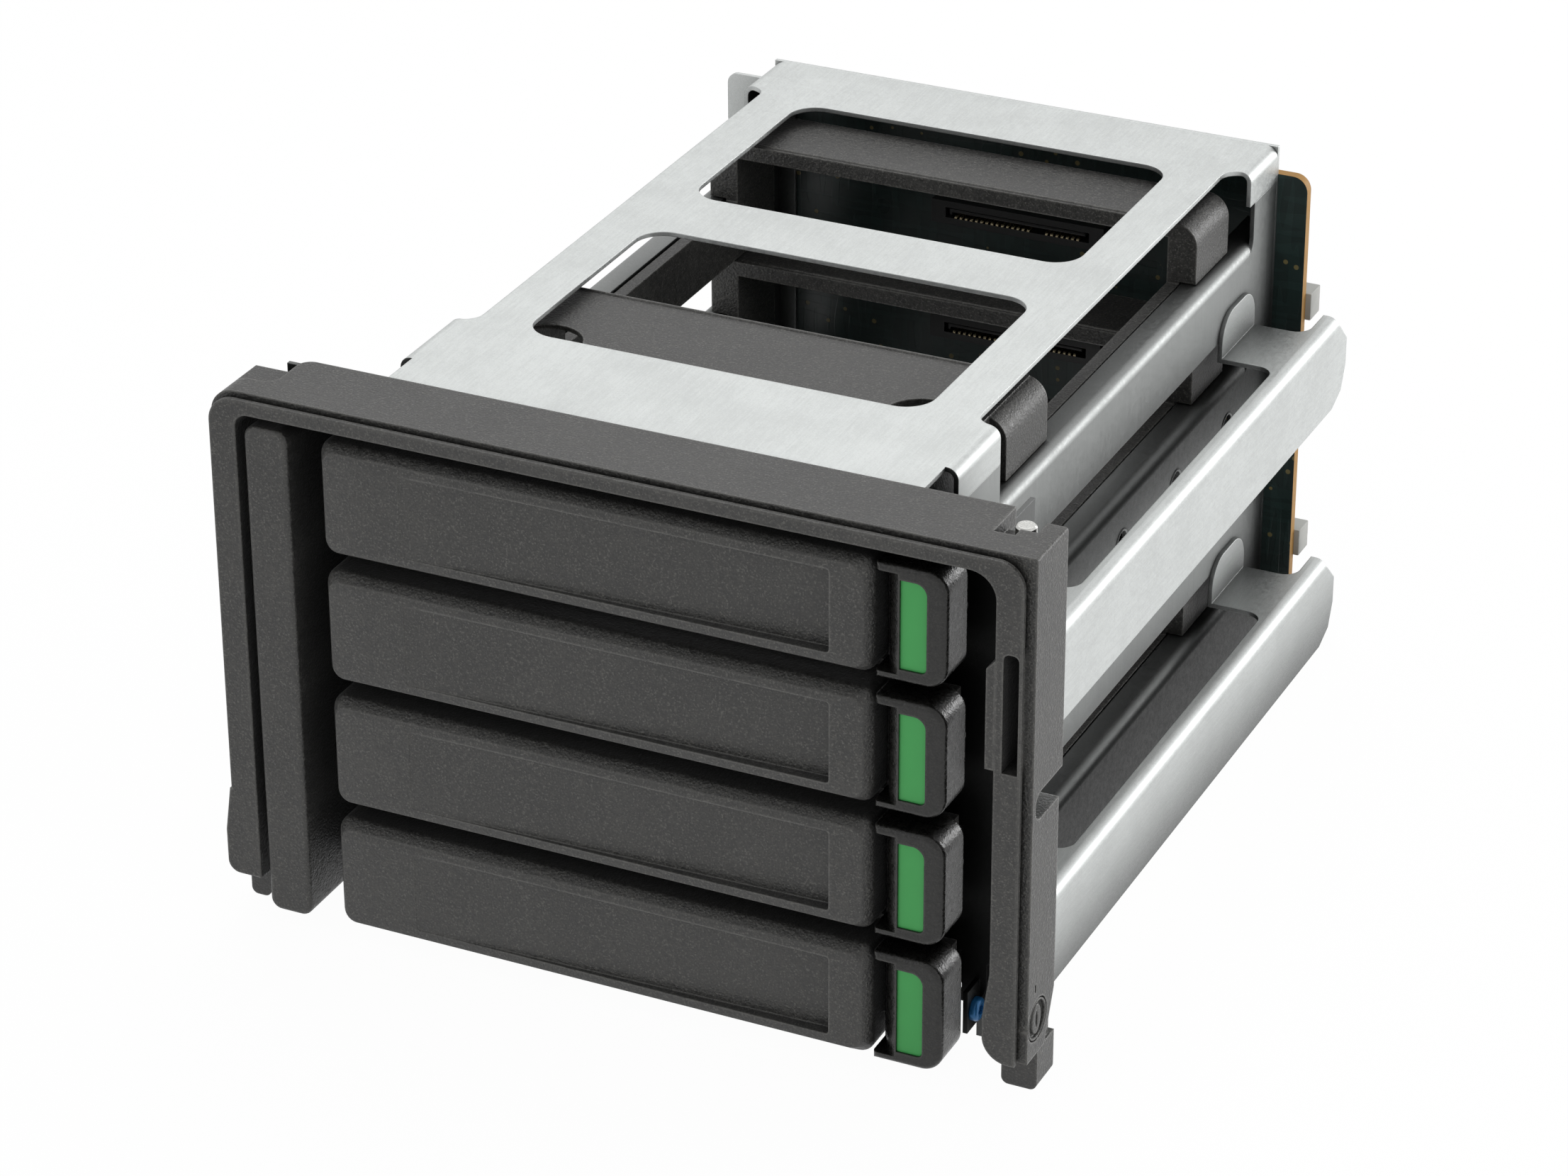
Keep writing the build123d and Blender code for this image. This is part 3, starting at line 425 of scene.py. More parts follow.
def board_coating(finish):
    """Coated circuit board: buried tracks, gold dots and a bare core at its edges."""
    g = painted("board")
    side = g.add("ShaderNodeNewGeometry", output="Normal")
    facing = g.add("ShaderNodeSeparateXYZ", None, {0: side}, "Y")
    flat = g.add("ShaderNodeMath", {"operation": "ABSOLUTE"}, {0: facing})
    bare = g.ease(flat, 0.6, 0.4)
    tracks = g.noise(0.0016, 0, 0.5, (1, 1, 0.12))
    crossing = g.noise(0.0019, 0, 0.5, (0.1, 1, 1))
    lines = g.ease(tracks, 0.52, 0.56) * 0.5 + g.ease(crossing, 0.55, 0.59) * 0.5
    dots = g.ease(g.cells(0.0042), 0.16, 0.12)
    cloud = g.noise(0.02, 2)
    colour = g.blend(lines * 0.55, tint(finish.board, 0.85), tint(finish.board, 1.9))
    colour = g.blend(dots * 0.7, colour, BOARD_DOTS)
    weave = g.noise(0.0006, 2, 0.6, (1, 1, 0.25))
    core = g.blend(weave, tint(finish.board_core, 0.8), tint(finish.board_core, 1.2))
    colour = g.blend(bare, colour, core)
    roughness = g.ease(cloud, 0.3, 0.7, 0.26, 0.36) + bare * 0.3
    normal = g.bump(lines + dots * 0.5, 0.00003, 0.8, g.rounded(0.0002))
    return g.finish(colour, roughness, 0.0, normal)


def smooth_plastic(name, colour, rough):
    """Plain technical plastic with a fine mould texture."""
    g = painted(name)
    fine = g.noise(0.0003, 2)
    cloud = g.noise(0.005, 2)
    shade = g.blend(cloud, tint(colour, 0.85), tint(colour, 1.2))
    roughness = g.ease(fine, 0.3, 0.7, rough - 0.05, rough + 0.06)
    normal = g.bump(fine, 0.00001, 0.6, g.rounded(0.00015))
    return g.finish(shade, roughness, 0.0, normal)


def plated_metal(name, colour, rough):
    """Small turned or drawn part with a bright plating."""
    g = painted(name)
    swirl = g.noise(0.0004, 3)
    cloud = g.noise(0.002, 2)
    shade = g.blend(cloud, tint(colour, 0.85), tint(colour, 1.15))
    roughness = g.ease(swirl, 0.3, 0.7, rough - 0.06, rough + 0.08)
    normal = g.bump(swirl, 0.000008, 0.6, g.rounded(0.00025))
    return g.finish(shade, roughness, 1.0, normal)


def coated_screw(finish):
    """Steel screw under a blue coating."""
    g = painted("blue_paint")
    wear = g.edges(0.0003)
    cloud = g.noise(0.0012, 2)
    colour = g.blend(cloud, tint(finish.blue, 0.8), tint(finish.blue, 1.25))
    colour = g.blend(wear * 0.5, colour, tint(finish.blue, 2.2))
    normal = g.bump(cloud, 0.00001, 0.5, g.rounded(0.0003))
    return g.finish(colour, g.ease(cloud, 0.3, 0.7, 0.28, 0.38), 0.35, normal)


def dress(material, *nodes):
    """Gives CAD nodes a material in place of their plain one."""
    for node in nodes:
        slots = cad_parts[node].data.materials
        slots.clear()
        slots.append(material)


def in_bays(*pieces):
    """The names of these nodes in all bays."""
    return [f"bay{bay}_{piece}" for bay in BAYS for piece in pieces]


def seen_share(graph):
    """One for rays of the camera, gloss and glass, zero for the rays that light things."""
    seen = graph.add("ShaderNodeLightPath", output="Is Camera Ray")
    seen = seen + graph.add("ShaderNodeLightPath", output="Is Glossy Ray")
    seen = seen + graph.add("ShaderNodeLightPath", output="Is Transmission Ray")
    return graph.add("ShaderNodeMath", {"operation": "MINIMUM"}, {0: seen, 1: 1.0})


def spot(across, depth, up):
    """Point in metres from millimetres; depth is counted from the front of the bezel."""
    return Vector((across * MM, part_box("bezel_frame")[0][1] + depth * MM, up * MM))


def opened(name, add, **settings):
    """A new primitive under this name, place in its mesh, open and selected all over."""
    bpy.ops.object.select_all(action="DESELECT")
    add(**settings)
    piece = bpy.context.active_object
    piece.name = piece.data.name = name
    bpy.ops.object.transform_apply(location=True, rotation=True, scale=True)
    bpy.ops.object.mode_set(mode="EDIT")
    bpy.context.tool_settings.mesh_select_mode = (True, False, False)
    bpy.ops.mesh.select_all(action="SELECT")
    return piece


def choose(piece, kind, test):
    """Selects only the faces, edges or vertices that pass a test."""
    mesh = bmesh.from_edit_mesh(piece.data)
    bpy.context.tool_settings.mesh_select_mode = (kind == "VERT", kind == "EDGE", kind == "FACE")
    mesh.select_mode = {kind}
    for group in (mesh.verts, mesh.edges, mesh.faces):
        for part in group:
            part.select_set(False)
    for part in {"VERT": mesh.verts, "EDGE": mesh.edges, "FACE": mesh.faces}[kind]:
        if test(part):
            part.select_set(True)
    mesh.select_flush_mode()
    bmesh.update_edit_mesh(piece.data)


def middle(part):
    """Centre of a face or edge, or the place of a vertex."""
    if isinstance(part, bmesh.types.BMFace):
        return part.calc_center_median()
    if isinstance(part, bmesh.types.BMEdge):
        return (part.verts[0].co + part.verts[1].co) / 2
    return part.co


def near(value, wanted, reach=0.00001):
    """Whether a measure is the wanted one."""
    return abs(value - wanted) < reach


def middle_of(piece):
    """Mean place of the selected vertices."""
    picked = [v.co for v in bmesh.from_edit_mesh(piece.data).verts if v.select]
    return piece.matrix_world @ (sum(picked, Vector()) / len(picked))


def push(shift, scale=None, centre=None):
    """Extrudes what is selected, moves it and then scales it about a point."""
    bpy.ops.mesh.extrude_region_move(TRANSFORM_OT_translate={"value": shift})
    if scale:
        bpy.ops.transform.resize(value=scale, center_override=centre)


def closed(piece, angle=35):
    """Ends the editing with faces outwards and soft edges smoothed."""
    bpy.ops.mesh.select_all(action="SELECT")
    bpy.ops.mesh.remove_doubles(threshold=0.000005)
    bpy.ops.mesh.normals_make_consistent(inside=False)
    if bmesh.from_edit_mesh(piece.data).calc_volume(signed=True) < 0:
        bpy.ops.mesh.flip_normals()
    bpy.ops.object.mode_set(mode="OBJECT")
    bpy.ops.object.shade_smooth_by_angle(angle=math.radians(angle))
    return piece


def copied(piece, name, shift=(0, 0, 0)):
    """A copy with its own mesh, moved by this much."""
    twin = piece.copy()
    twin.data = piece.data.copy()
    twin.name = twin.data.name = name
    twin.data.transform(Matrix.Translation(shift))
    bpy.context.scene.collection.objects.link(twin)
    return twin


def joined(name, pieces):
    """One object of several, under this name."""
    bpy.ops.object.select_all(action="DESELECT")
    for piece in pieces:
        piece.select_set(True)
    bpy.context.view_layer.objects.active = pieces[0]
    bpy.ops.object.join()
    pieces[0].name = pieces[0].data.name = name
    return pieces[0]


def settle(piece, body, finish, replaced=None):
    """Gives a finished piece its finish and its body, and hides the piece it replaces, if any."""
    piece.data.materials.clear()
    piece.data.materials.append(finish)
    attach(piece, body)
    if replaced:
        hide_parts(replaced)


def span_of(node):
    """The two corners of a node's box."""
    return (Vector(corner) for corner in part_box(node))


def bay_shift(bay):
    """How far a bay lies from the lowest one."""
    return Vector(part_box(f"bay{bay}_panel")[0]) - Vector(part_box(f"bay{LOWEST_BAY}_panel")[0])


def spread(piece, stem):
    """Copies of the lowest bay's piece for the other bays, then that piece, each with its bay."""
    for bay in UPPER_BAYS:
        yield bay, copied(piece, f"{stem}_{bay}", bay_shift(bay))
    yield LOWEST_BAY, piece


def made_finish(name):
    """A finish that was made earlier, by its name."""
    return bpy.data.materials[f"cage_{name}"]


class CAGE_OT_sheet_metal(bpy.types.Operator):
    """Finish the zinc-coated sheet parts"""

    bl_idname = "cage.sheet_metal"
    bl_label = "Sheet metal"

    def execute(self, context):
        finish = context.scene.cage_finishes
        # Side walls: their zinc is darkened as painted shade
        dress(
            zinc_sheet(finish, "wall_zinc", finish.wall_painted_shade, UP_THE_WALL),
            "side_wall_right", "side_wall_left",
        )
        dress(
            zinc_sheet(finish), "top_plate",
            "bottom_plate", "guide_rail_upper", "guide_rail_lower", "rear_frame",
        )
        # Front frame: its zinc is darkened as painted shade
        shaded_frame_zinc = zinc_sheet(finish, "dull_zinc", finish.frame_painted_shade, UP_THE_WALL)
        dress(shaded_frame_zinc, "front_frame")
        return {"FINISHED"}


class CAGE_OT_mouldings(bpy.types.Operator):
    """Finish the black and green mouldings"""

    bl_idname = "cage.mouldings"
    bl_label = "Mouldings"

    def execute(self, context):
        finish = context.scene.cage_finishes
        black = black_plastic(finish)
        dress(black, "bezel_frame", "bay_strip", "lock_dial", "foot_right", "foot_left")
        dress(black, *in_bays("carrier"))
        latch = black_plastic(finish, "latch_plastic", 0.00013, 0.45, 0.18, ior=1.46, sheen=0.0)
        dress(latch, *in_bays("latch"))
        dress(green_plastic(finish), *in_bays("latch_pad"))
        return {"FINISHED"}


class CAGE_OT_electronics(bpy.types.Operator):
    """Finish the backplane board and its connectors"""

    bl_idname = "cage.electronics"
    bl_label = "Electronics"

    def execute(self, context):
        finish = context.scene.cage_finishes
        dress(board_coating(finish), "backplane_board")
        dress(smooth_plastic("socket_plastic", SOCKET_BLACK, 0.38), *in_bays("socket"))
        dress(smooth_plastic("header_plastic", HEADER_WHITE, 0.45), *HEADERS)
        return {"FINISHED"}


class CAGE_OT_small_parts(bpy.types.Operator):
    """Finish the screws, pins, springs and stud"""

    bl_idname = "cage.small_parts"
    bl_label = "Small parts"

    def execute(self, context):
        finish = context.scene.cage_finishes
        steel = plated_metal("plain_steel", STEEL, 0.30)
        dress(steel, "board_screws", "bezel_stud")
        dress(steel, *in_bays("drive_pins", "latch_pin", "latch_spring"))
        dress(coated_screw(finish), "blue_screw")
        return {"FINISHED"}


def area_lamp(name, place, target, size, power):
    """A soft lamp that points at its target."""
    light = bpy.data.lights.new(name, "AREA")
    light.shape = "RECTANGLE"
    light.size, light.size_y = size
    light.energy = power
    lamp = bpy.data.objects.new(name, light)
    lamp.location = place
    lamp.rotation_euler = (Vector(target) - Vector(place)).to_track_quat("-Z", "Y").to_euler()
    bpy.context.scene.collection.objects.link(lamp)


class CAGE_OT_stage(bpy.types.Operator):
    """Build the floor, the lamps, the surrounding light and the camera"""

    bl_idname = "cage.stage"
    bl_label = "Stage"

    def execute(self, context):
        stage = context.scene.cage_stage
        self.floor(stage)
        for power, lamp in LAMPS.items():
            area_lamp(*lamp, getattr(stage, power))
        self.surroundings(context.scene, stage)
        self.camera(context.scene, stage)
        context.scene.view_settings.view_transform = "Standard"
        return {"FINISHED"}

    def floor(self, stage):
        """Pale paper that shows as white but keeps its shadow."""
        bpy.ops.object.select_all(action="DESELECT")
        bpy.ops.mesh.primitive_plane_add(size=stage.floor_size, location=(0, 0, 0))
        floor = bpy.context.active_object
        floor.name = "floor"
        g = painted("floor")
        share = seen_share(g)
        glow = g.add("ShaderNodeEmission", None, {"Color": (1, 1, 1, 1), "Strength": stage.glow})
        shade = g.blend(g.noise(0.5, 2), *PAPER)
        paper = g.add("ShaderNodeBsdfPrincipled", None, {"Base Color": shade, "Roughness": 0.7})
        mix = {0: share * stage.glow_share, 1: paper, 2: glow}
        surface = g.add("ShaderNodeMixShader", None, mix)
        g.add("ShaderNodeOutputMaterial", None, {"Surface": surface})
        floor.data.materials.append(g.owner)

    def surroundings(self, scene, stage):
        """Pale to the camera, gloss and glass, dimmer as a light."""
        scene.world = bpy.data.worlds.new("studio")
        g = Graph(scene.world)
        around = {"Color": SKY, "Strength": stage.ambient}
        around = g.add("ShaderNodeBackground", None, around)
        pale = g.add("ShaderNodeBackground", None, {"Color": PALE, "Strength": 1.0})
        mix = g.add("ShaderNodeMixShader", None, {0: seen_share(g), 1: around, 2: pale})
        g.add("ShaderNodeOutputWorld", None, {"Surface": mix})

    def camera(self, scene, stage):
        """Camera at the photograph's viewing angle."""
        camera = bpy.data.objects.new("camera", bpy.data.cameras.new("camera"))
        camera.data.lens = stage.lens
        camera.data.sensor_width = SENSOR
        camera.data.clip_start, camera.data.clip_end = CLIP
        turn = (
            Matrix.Rotation(stage.azimuth, 3, "Z")
            @ Matrix.Rotation(math.pi / 2 - stage.elevation, 3, "X")
            @ Matrix.Rotation(stage.roll, 3, "Z")
        )
        camera.location = stage.eye
        camera.rotation_euler = turn.to_euler()
        scene.collection.objects.link(camera)
        scene.camera = camera


class CAGE_OT_panels(bpy.types.Operator):
    """Model the bays' panels: sloped borders, a crisp front edge and a thumb recess"""

    bl_idname = "cage.panels"
    bl_label = "Panels"

    def execute(self, context):
        shape = context.scene.cage_shapes
        low, high = span_of("bay4_panel")
        wide, tall = high.x - low.x, high.z - low.z
        centre = Vector(((low.x + high.x) / 2, low.y, (low.z + high.z) / 2))
        slope = shape.panel_slope
        margin = shape.recess_margin
        small = (wide - 2 * slope, tall - 2 * slope)
        panel = opened(
            f"panel_{LOWEST_BAY}", bpy.ops.mesh.primitive_plane_add,
            size=1, location=centre, rotation=(math.pi / 2, 0, 0),
        )
        bpy.ops.transform.resize(value=(small[0], 1, small[1]), center_override=centre)
        bpy.ops.mesh.bevel(offset=shape.panel_corner, segments=6, affect="VERTICES")
        choose(panel, "FACE", lambda f: True)
        bpy.ops.mesh.inset(thickness=margin - slope, depth=0)
        start, end = low.x + shape.recess_left, high.x - shape.recess_right
        inner = Vector((wide / 2 - margin, 0, tall / 2 - margin)) * 1.001
        for side, shift in (
            (-1, start - low.x - margin),
            (1, end - high.x + margin),
        ):
            choose(panel, "VERT", lambda v: abs(middle(v).z - centre.z) < inner.z
                   and 0 < (middle(v).x - centre.x) * side < inner.x)
            bpy.ops.transform.translate(value=(shift, 0, 0))
        choose(panel, "FACE", lambda f: f.calc_area() > (end - start) * inner.z
               and near(middle(f).z, centre.z, 0.002))
        push((0, shape.recess_step, 0))
        inside = low.y + shape.recess_step / 2
        choose(panel, "VERT", lambda v: middle(v).y > inside and middle(v).x > centre.x)
        bpy.ops.transform.translate(value=(0, shape.recess_depth, 0))
        choose(panel, "EDGE", lambda e: len(e.link_faces) == 1)
        push((0, shape.slope_depth, 0), (wide / small[0], 1, tall / small[1]), centre)
        push((0, high.y - low.y - shape.slope_depth, 0))
        bpy.ops.mesh.edge_face_add()
        rim = (small[0] / 2 - 0.6 * margin, small[1] / 2 - 0.3 * margin)
        choose(panel, "EDGE", lambda e: all(near(v.co.y, low.y) for v in e.verts)
               and len(e.link_faces) == 2 and e.calc_face_angle() > 0.3
               and (abs(middle(e).x - centre.x) > rim[0]
                    or abs(middle(e).z - centre.z) > rim[1]))
        bpy.ops.mesh.bevel(offset=shape.front_edge, segments=2, affect="EDGES")
        back = low.y + shape.slope_depth
        choose(panel, "EDGE", lambda e: all(near(v.co.y, back) for v in e.verts))
        bpy.ops.mesh.bevel(offset=shape.shoulder, segments=3, affect="EDGES")
        closed(panel, 32)
        black = made_finish("black_plastic")
        for bay, piece in spread(panel, "panel"):
            settle(piece, f"carrier_{bay}", black, f"bay{bay}_panel")
        return {"FINISHED"}


class CAGE_OT_dial(bpy.types.Operator):
    """Model the dial lock: a ring, a lens-shaped face in it and a keyway"""

    bl_idname = "cage.dial"
    bl_label = "Lock dial"

    plate = 0.002
    ring_width = 0.00045
    groove_depth = 0.0008
    groove_width = 0.00055
    face_rise = 0.0007
    keyway_margin = 0.0009
    keyway_depth = 0.0011
    stub_radius = 0.0015
    stub_length = 0.003
    edge = 0.00015

    def execute(self, context):
        low, high = span_of("lock_dial")
        radius = (high.z - low.z) / 2
        centre = Vector((high.x, (low.y + high.y) / 2, (low.z + high.z) / 2))
        dial = opened(
            "dial_face", bpy.ops.mesh.primitive_cylinder_add, vertices=48, radius=radius,
            depth=self.plate, location=centre - Vector((self.plate / 2, 0, 0)),
            rotation=(0, math.pi / 2, 0),
        )
        choose(dial, "FACE", lambda f: f.normal.x > 0.9)
        bpy.ops.mesh.inset(thickness=self.ring_width)
        push((-self.groove_depth, 0, 0))
        bpy.ops.mesh.inset(thickness=self.groove_width)
        bpy.ops.transform.resize(value=(1, 0.66, 1), center_override=centre)
        push((self.face_rise, 0, 0), (1, 0.92, 0.95), centre)
        bpy.ops.mesh.inset(thickness=self.keyway_margin)
        bpy.ops.transform.resize(value=(1, 0.42, 0.8), center_override=centre)
        push((-self.keyway_depth, 0, 0))
        back = high.x - self.plate
        choose(dial, "FACE", lambda f: f.normal.x < -0.9 and near(middle(f).x, back))
        bpy.ops.mesh.inset(thickness=radius - self.stub_radius)
        push((-self.stub_length, 0, 0))
        choose(dial, "EDGE", lambda e: near(middle(e).x, high.x, 0.0002)
               and e.calc_face_angle(0) > 0.5)
        bpy.ops.mesh.bevel(offset=self.edge, segments=2, affect="EDGES")
        closed(dial)
        settle(dial, "dial", made_finish("black_plastic"), "lock_dial")
        return {"FINISHED"}


class CAGE_OT_fasteners(bpy.types.Operator):
    """Model the board's star-recess screws, the blue screw and the rims of the rail holes"""

    bl_idname = "cage.fasteners"
    bl_label = "Fasteners"

    # Metres; a shank is its radius and length
    head_height = 0.0016
    board_head = 0.0029
    board_shank = (0.00145, 0.0034)
    blue_shank = (0.0014, 0.0015)
    lobe_points = 24
    rim_radius = 0.0031
    rim_wire = 0.00032
    # Millimetres, as spot takes them: depth and height of the first hole, and the pitch
    first_hole = (58.7, 61.7)
    hole_pitch = 31
    holes = 5

    def screw(self, name, place, turn, head, shank):
        """Pan head with a six-lobed recess, made along Z and turned to its axis."""
        tall = self.head_height
        piece = opened(
            name, bpy.ops.mesh.primitive_cylinder_add, vertices=self.lobe_points, radius=head,
            depth=tall, location=(0, 0, tall / 2),
        )
        choose(piece, "FACE", lambda f: f.normal.z > 0.9)
        bpy.ops.mesh.inset(thickness=head * 0.45)
        lobe = head * 0.55
        step = 2 * math.pi / self.lobe_points
        choose(piece, "VERT", lambda v: near(v.co.z, tall)
               and near(v.co.xy.length, lobe, 0.00002)
               and round(math.atan2(v.co.y, v.co.x) / step) % 4 == 0)
        bpy.ops.transform.resize(value=(0.72, 0.72, 1), center_override=(0, 0, tall))
        choose(piece, "FACE", lambda f: f.normal.z > 0.9 and len(f.verts) == self.lobe_points
               and middle(f).xy.length < 0.00005)
        push((0, 0, -0.6 * tall), (0.9, 0.9, 1), (0, 0, 0.4 * tall))
        choose(piece, "EDGE", lambda e: near(middle(e).z, tall)
               and middle(e).xy.length > head * 0.9)
        bpy.ops.mesh.bevel(offset=tall * 0.45, segments=4, affect="EDGES")
        choose(piece, "FACE", lambda f: f.normal.z < -0.9 and near(middle(f).z, 0))
        bpy.ops.mesh.inset(thickness=head - shank[0])
        push((0, 0, -shank[1]))
        closed(piece)
        piece.data.transform(Matrix.Translation(place) @ Matrix.Rotation(turn[0], 4, turn[1]))
        return piece

    def execute(self, context):
        steel = made_finish("plain_steel")
        low, high = span_of("board_screws")
        head = self.board_head
        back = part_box("backplane_board")[1][1]
        screws = []
        for across in (low.x + head, high.x - head):
            for up in (low.z + head, high.z - head):
                screws.append(self.screw(
                    f"board_screw_{len(screws) + 1}", Vector((across, back, up)),
                    (-math.pi / 2, "X"), head, self.board_shank,
                ))
        settle(joined("board_screw_set", screws), CAGE, steel, "board_screws")
        low, high = span_of("blue_screw")
        centre = (low + high) / 2
        blue = self.screw(
            "blue_screw_head", Vector((high.x - self.head_height, centre.y, centre.z)),
            (math.pi / 2, "Y"), (high.z - low.z) / 2, self.blue_shank,
        )
        settle(blue, CAGE, made_finish("blue_paint"), "blue_screw")
        for side, name in ((1, "right"), (-1, "left")):
            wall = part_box(f"side_wall_{name}")
            face = wall[1][0] if side > 0 else wall[0][0]
            rims = []
            for hole in range(self.holes):
                depth, level = self.first_hole
                centre = spot(0, depth + self.hole_pitch * hole, level)
                centre.x = face
                rim = opened(
                    f"rim_{hole}", bpy.ops.mesh.primitive_torus_add, major_segments=32,
                    minor_segments=8, major_radius=self.rim_radius, minor_radius=self.rim_wire,
                    location=centre, rotation=(0, math.pi / 2, 0),
                )
                bpy.ops.transform.resize(value=(0.7, 1, 1), center_override=centre)
                rims.append(closed(rim, 60))
            rims = joined(f"rail_hole_rims_{name}", rims)
            settle(rims, CAGE, made_finish("zinc_sheet"))
        return {"FINISHED"}


class CAGE_OT_connectors(bpy.types.Operator):
    """Model the sockets' tongues and contacts and the shrouded headers with their pins"""

    bl_idname = "cage.connectors"
    bl_label = "Connectors"

    tongue_size = (0.0325, 0.0040, 0.0009)
    tongue_depth = 0.0029
    tongue_rise = 0.0002
    hook = 0.0008
    blade_size = (0.0007, 0.0050, 0.00035)
    blade_depth = 0.0027
    blade_drop = 0.0008
    blade_tip = (0, -0.0003, -0.0003)
    blade_pitch = 0.00127
    blade_rows = ((-0.0150, 15), (0.0072, 7))
    shroud_wall = 0.0008
    shroud_depth = 0.0045
    pin_size = (0.00064, 0.0045, 0.00064)
    pin_place = 0.0013
    pin_reach = 0.0003
    pin_tip = 0.0004

    def tongue(self, low, high):
        """Plate with an L-shaped end that carries the contacts."""
        middle_x, level = (low.x + high.x) / 2, (low.z + high.z) / 2
        plate = opened(
            f"socket_tongue_{LOWEST_BAY}", bpy.ops.mesh.primitive_cube_add, size=1,
            location=(middle_x, low.y + self.tongue_depth, level + self.tongue_rise),
            scale=self.tongue_size,
        )
        choose(plate, "FACE", lambda f: f.normal.x < -0.9)
        push((-self.hook, 0, 0))
        end = middle_x - self.tongue_size[0] / 2
        choose(plate, "FACE", lambda f: f.normal.z < -0.9 and middle(f).x < end)
        push((0, 0, -self.hook))
        front = low.y + self.tongue_depth - self.tongue_size[1] / 2
        choose(plate, "EDGE", lambda e: near(middle(e).y, front, 0.00002))
        bpy.ops.mesh.bevel(offset=0.00018, segments=2, affect="EDGES")
        return closed(plate)

    def contacts(self, low, high):
        """Two rows of sprung blades along the underside of the tongue."""
        middle_x, level = (low.x + high.x) / 2, (low.z + high.z) / 2
        rows = []
        for first, count in self.blade_rows:
            blade = opened(
                f"blade_{count}", bpy.ops.mesh.primitive_cube_add, size=1,
                location=(middle_x + first, low.y + self.blade_depth, level - self.blade_drop),
                scale=self.blade_size,
            )
            choose(blade, "FACE", lambda f: f.normal.y < -0.9)
            push(self.blade_tip, (0.8, 1, 0.7), middle_of(blade))
            closed(blade)
            array = blade.modifiers.new("row", "ARRAY")
            array.count = count
            array.use_relative_offset = False
            array.use_constant_offset = True
            array.constant_offset_displace = (self.blade_pitch, 0, 0)
            bpy.ops.object.modifier_apply(modifier=array.name)
            rows.append(blade)
        return joined(f"socket_contacts_{LOWEST_BAY}", rows)

    def header(self, name):
        """Shroud open to the rear, with four pins."""
        low, high = span_of(name)
        centre = (low + high) / 2
        shroud = opened(
            name + "_shroud", bpy.ops.mesh.primitive_cube_add, size=1,
            location=centre, scale=high - low,
        )
        choose(shroud, "FACE", lambda f: f.normal.y > 0.9)
        bpy.ops.mesh.inset(thickness=self.shroud_wall)
        push((0, -self.shroud_depth, 0))
        choose(shroud, "EDGE", lambda e: e.calc_face_angle(0) > 1
               and max(abs(middle(e).x - centre.x) / (high.x - low.x),
                       abs(middle(e).z - centre.z) / (high.z - low.z)) > 0.45)
        bpy.ops.mesh.bevel(offset=0.0003, segments=2, affect="EDGES")
        closed(shroud)
        pins = []
        for across in (-1, 1):
            for up in (-1, 1):
                place = Vector((across * self.pin_place, self.pin_reach, up * self.pin_place))
                pin = opened(
                    "header_pin", bpy.ops.mesh.primitive_cube_add, size=1,
                    location=centre + place, scale=self.pin_size,
                )
                choose(pin, "FACE", lambda f: f.normal.y > 0.9)
                push((0, self.pin_tip, 0), (0.5, 1, 0.5), middle_of(pin))
                pins.append(closed(pin))
        return shroud, joined(name + "_pins", pins)

    def execute(self, context):
        gold = plated_metal("contact_metal", GOLD, 0.28)
        low, high = span_of("bay4_socket")
        black = made_finish("socket_plastic")
        tongue, contacts = self.tongue(low, high), self.contacts(low, high)
        for _, piece in spread(tongue, "socket_tongue"):
            settle(piece, CAGE, black)
        for _, piece in spread(contacts, "socket_contacts"):
            settle(piece, CAGE, gold)
        for name in HEADERS:
            shroud, pins = self.header(name)
            settle(shroud, CAGE, made_finish("header_plastic"), name)
            settle(pins, CAGE, gold)
        return {"FINISHED"}


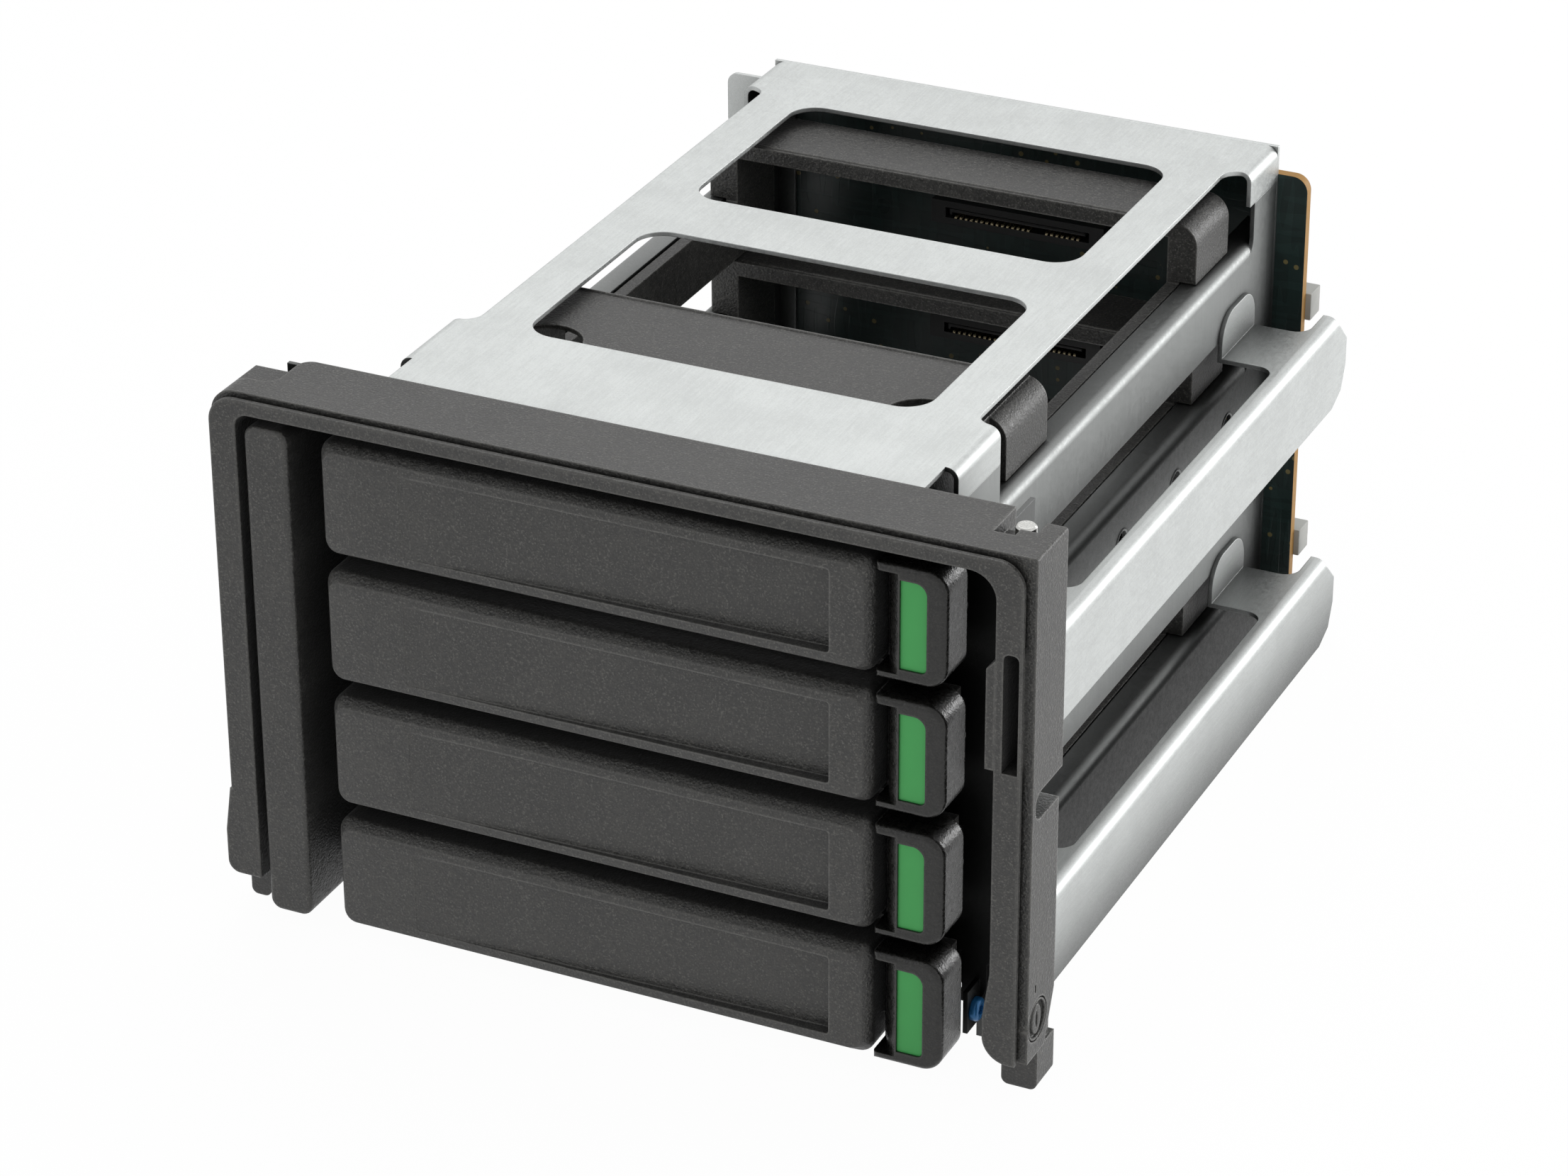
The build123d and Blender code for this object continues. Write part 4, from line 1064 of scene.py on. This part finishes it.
class CAGE_OT_deck_ridges(bpy.types.Operator):
    """Model the raised ridges along the edges of the carriers' decks"""

    bl_idname = "cage.deck_ridges"
    bl_label = "Deck ridges"

    # Depths in millimetres, as spot takes them; the bar's size in metres
    depths = (84.3, 168.9)
    bar_size = (0.1018, 0.0010, 0.0007)

    def execute(self, context):
        low, high = span_of("bay4_carrier")
        centre_x = (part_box("top_plate")[0][0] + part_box("top_plate")[1][0]) / 2
        bars = []
        for number, depth in enumerate(self.depths):
            place = spot(0, depth, 0)
            bar = opened(
                f"bar_{number}", bpy.ops.mesh.primitive_cube_add, size=1,
                location=(centre_x, place.y, high.z), scale=self.bar_size,
            )
            choose(bar, "FACE", lambda f: f.normal.z > 0.9)
            bpy.ops.transform.resize(
                value=(0.995, 0.45, 1), center_override=(centre_x, place.y, high.z),
            )
            choose(bar, "EDGE", lambda e: near(middle(e).z, high.z + self.bar_size[2] / 2))
            bpy.ops.mesh.bevel(offset=0.0001, segments=2, affect="EDGES")
            bars.append(closed(bar))
        ridge = joined(f"deck_ridge_{LOWEST_BAY}", bars)
        black = made_finish("black_plastic")
        for bay, piece in spread(ridge, "deck_ridge"):
            settle(piece, f"carrier_{bay}", black)
        return {"FINISHED"}


OPERATORS = (
    CAGE_OT_stage,
    CAGE_OT_sheet_metal,
    CAGE_OT_mouldings,
    CAGE_OT_electronics,
    CAGE_OT_small_parts,
    CAGE_OT_panels,
    CAGE_OT_dial,
    CAGE_OT_fasteners,
    CAGE_OT_connectors,
    CAGE_OT_deck_ridges,
)


class CAGE_PT_panel(bpy.types.Panel):
    """Values of the finishes, shapes and stage, and a button for each group of pieces"""

    bl_idname = "CAGE_PT_panel"
    bl_label = "Drive cage"
    bl_space_type = "VIEW_3D"
    bl_region_type = "UI"
    bl_category = "Drive cage"

    def draw(self, context):
        layout, scene = self.layout, context.scene
        for group in (scene.cage_finishes, scene.cage_shapes, scene.cage_stage):
            for name in group.__annotations__:
                layout.prop(group, name)
        for operator in OPERATORS:
            layout.operator(operator.bl_idname)


CLASSES = (CageFinishes, CageShapes, CageStage, *OPERATORS, CAGE_PT_panel)


def register():
    for entry in CLASSES:
        bpy.utils.register_class(entry)
    bpy.types.Scene.cage_finishes = bpy.props.PointerProperty(type=CageFinishes)
    bpy.types.Scene.cage_shapes = bpy.props.PointerProperty(type=CageShapes)
    bpy.types.Scene.cage_stage = bpy.props.PointerProperty(type=CageStage)


def unregister():
    del bpy.types.Scene.cage_stage
    del bpy.types.Scene.cage_shapes
    del bpy.types.Scene.cage_finishes
    for entry in reversed(CLASSES):
        bpy.utils.unregister_class(entry)


def main():
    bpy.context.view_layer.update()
    register()
    for operator in OPERATORS:
        group, name = operator.bl_idname.split(".")
        getattr(getattr(bpy.ops, group), name)()


if __name__ == "__main__":
    main()
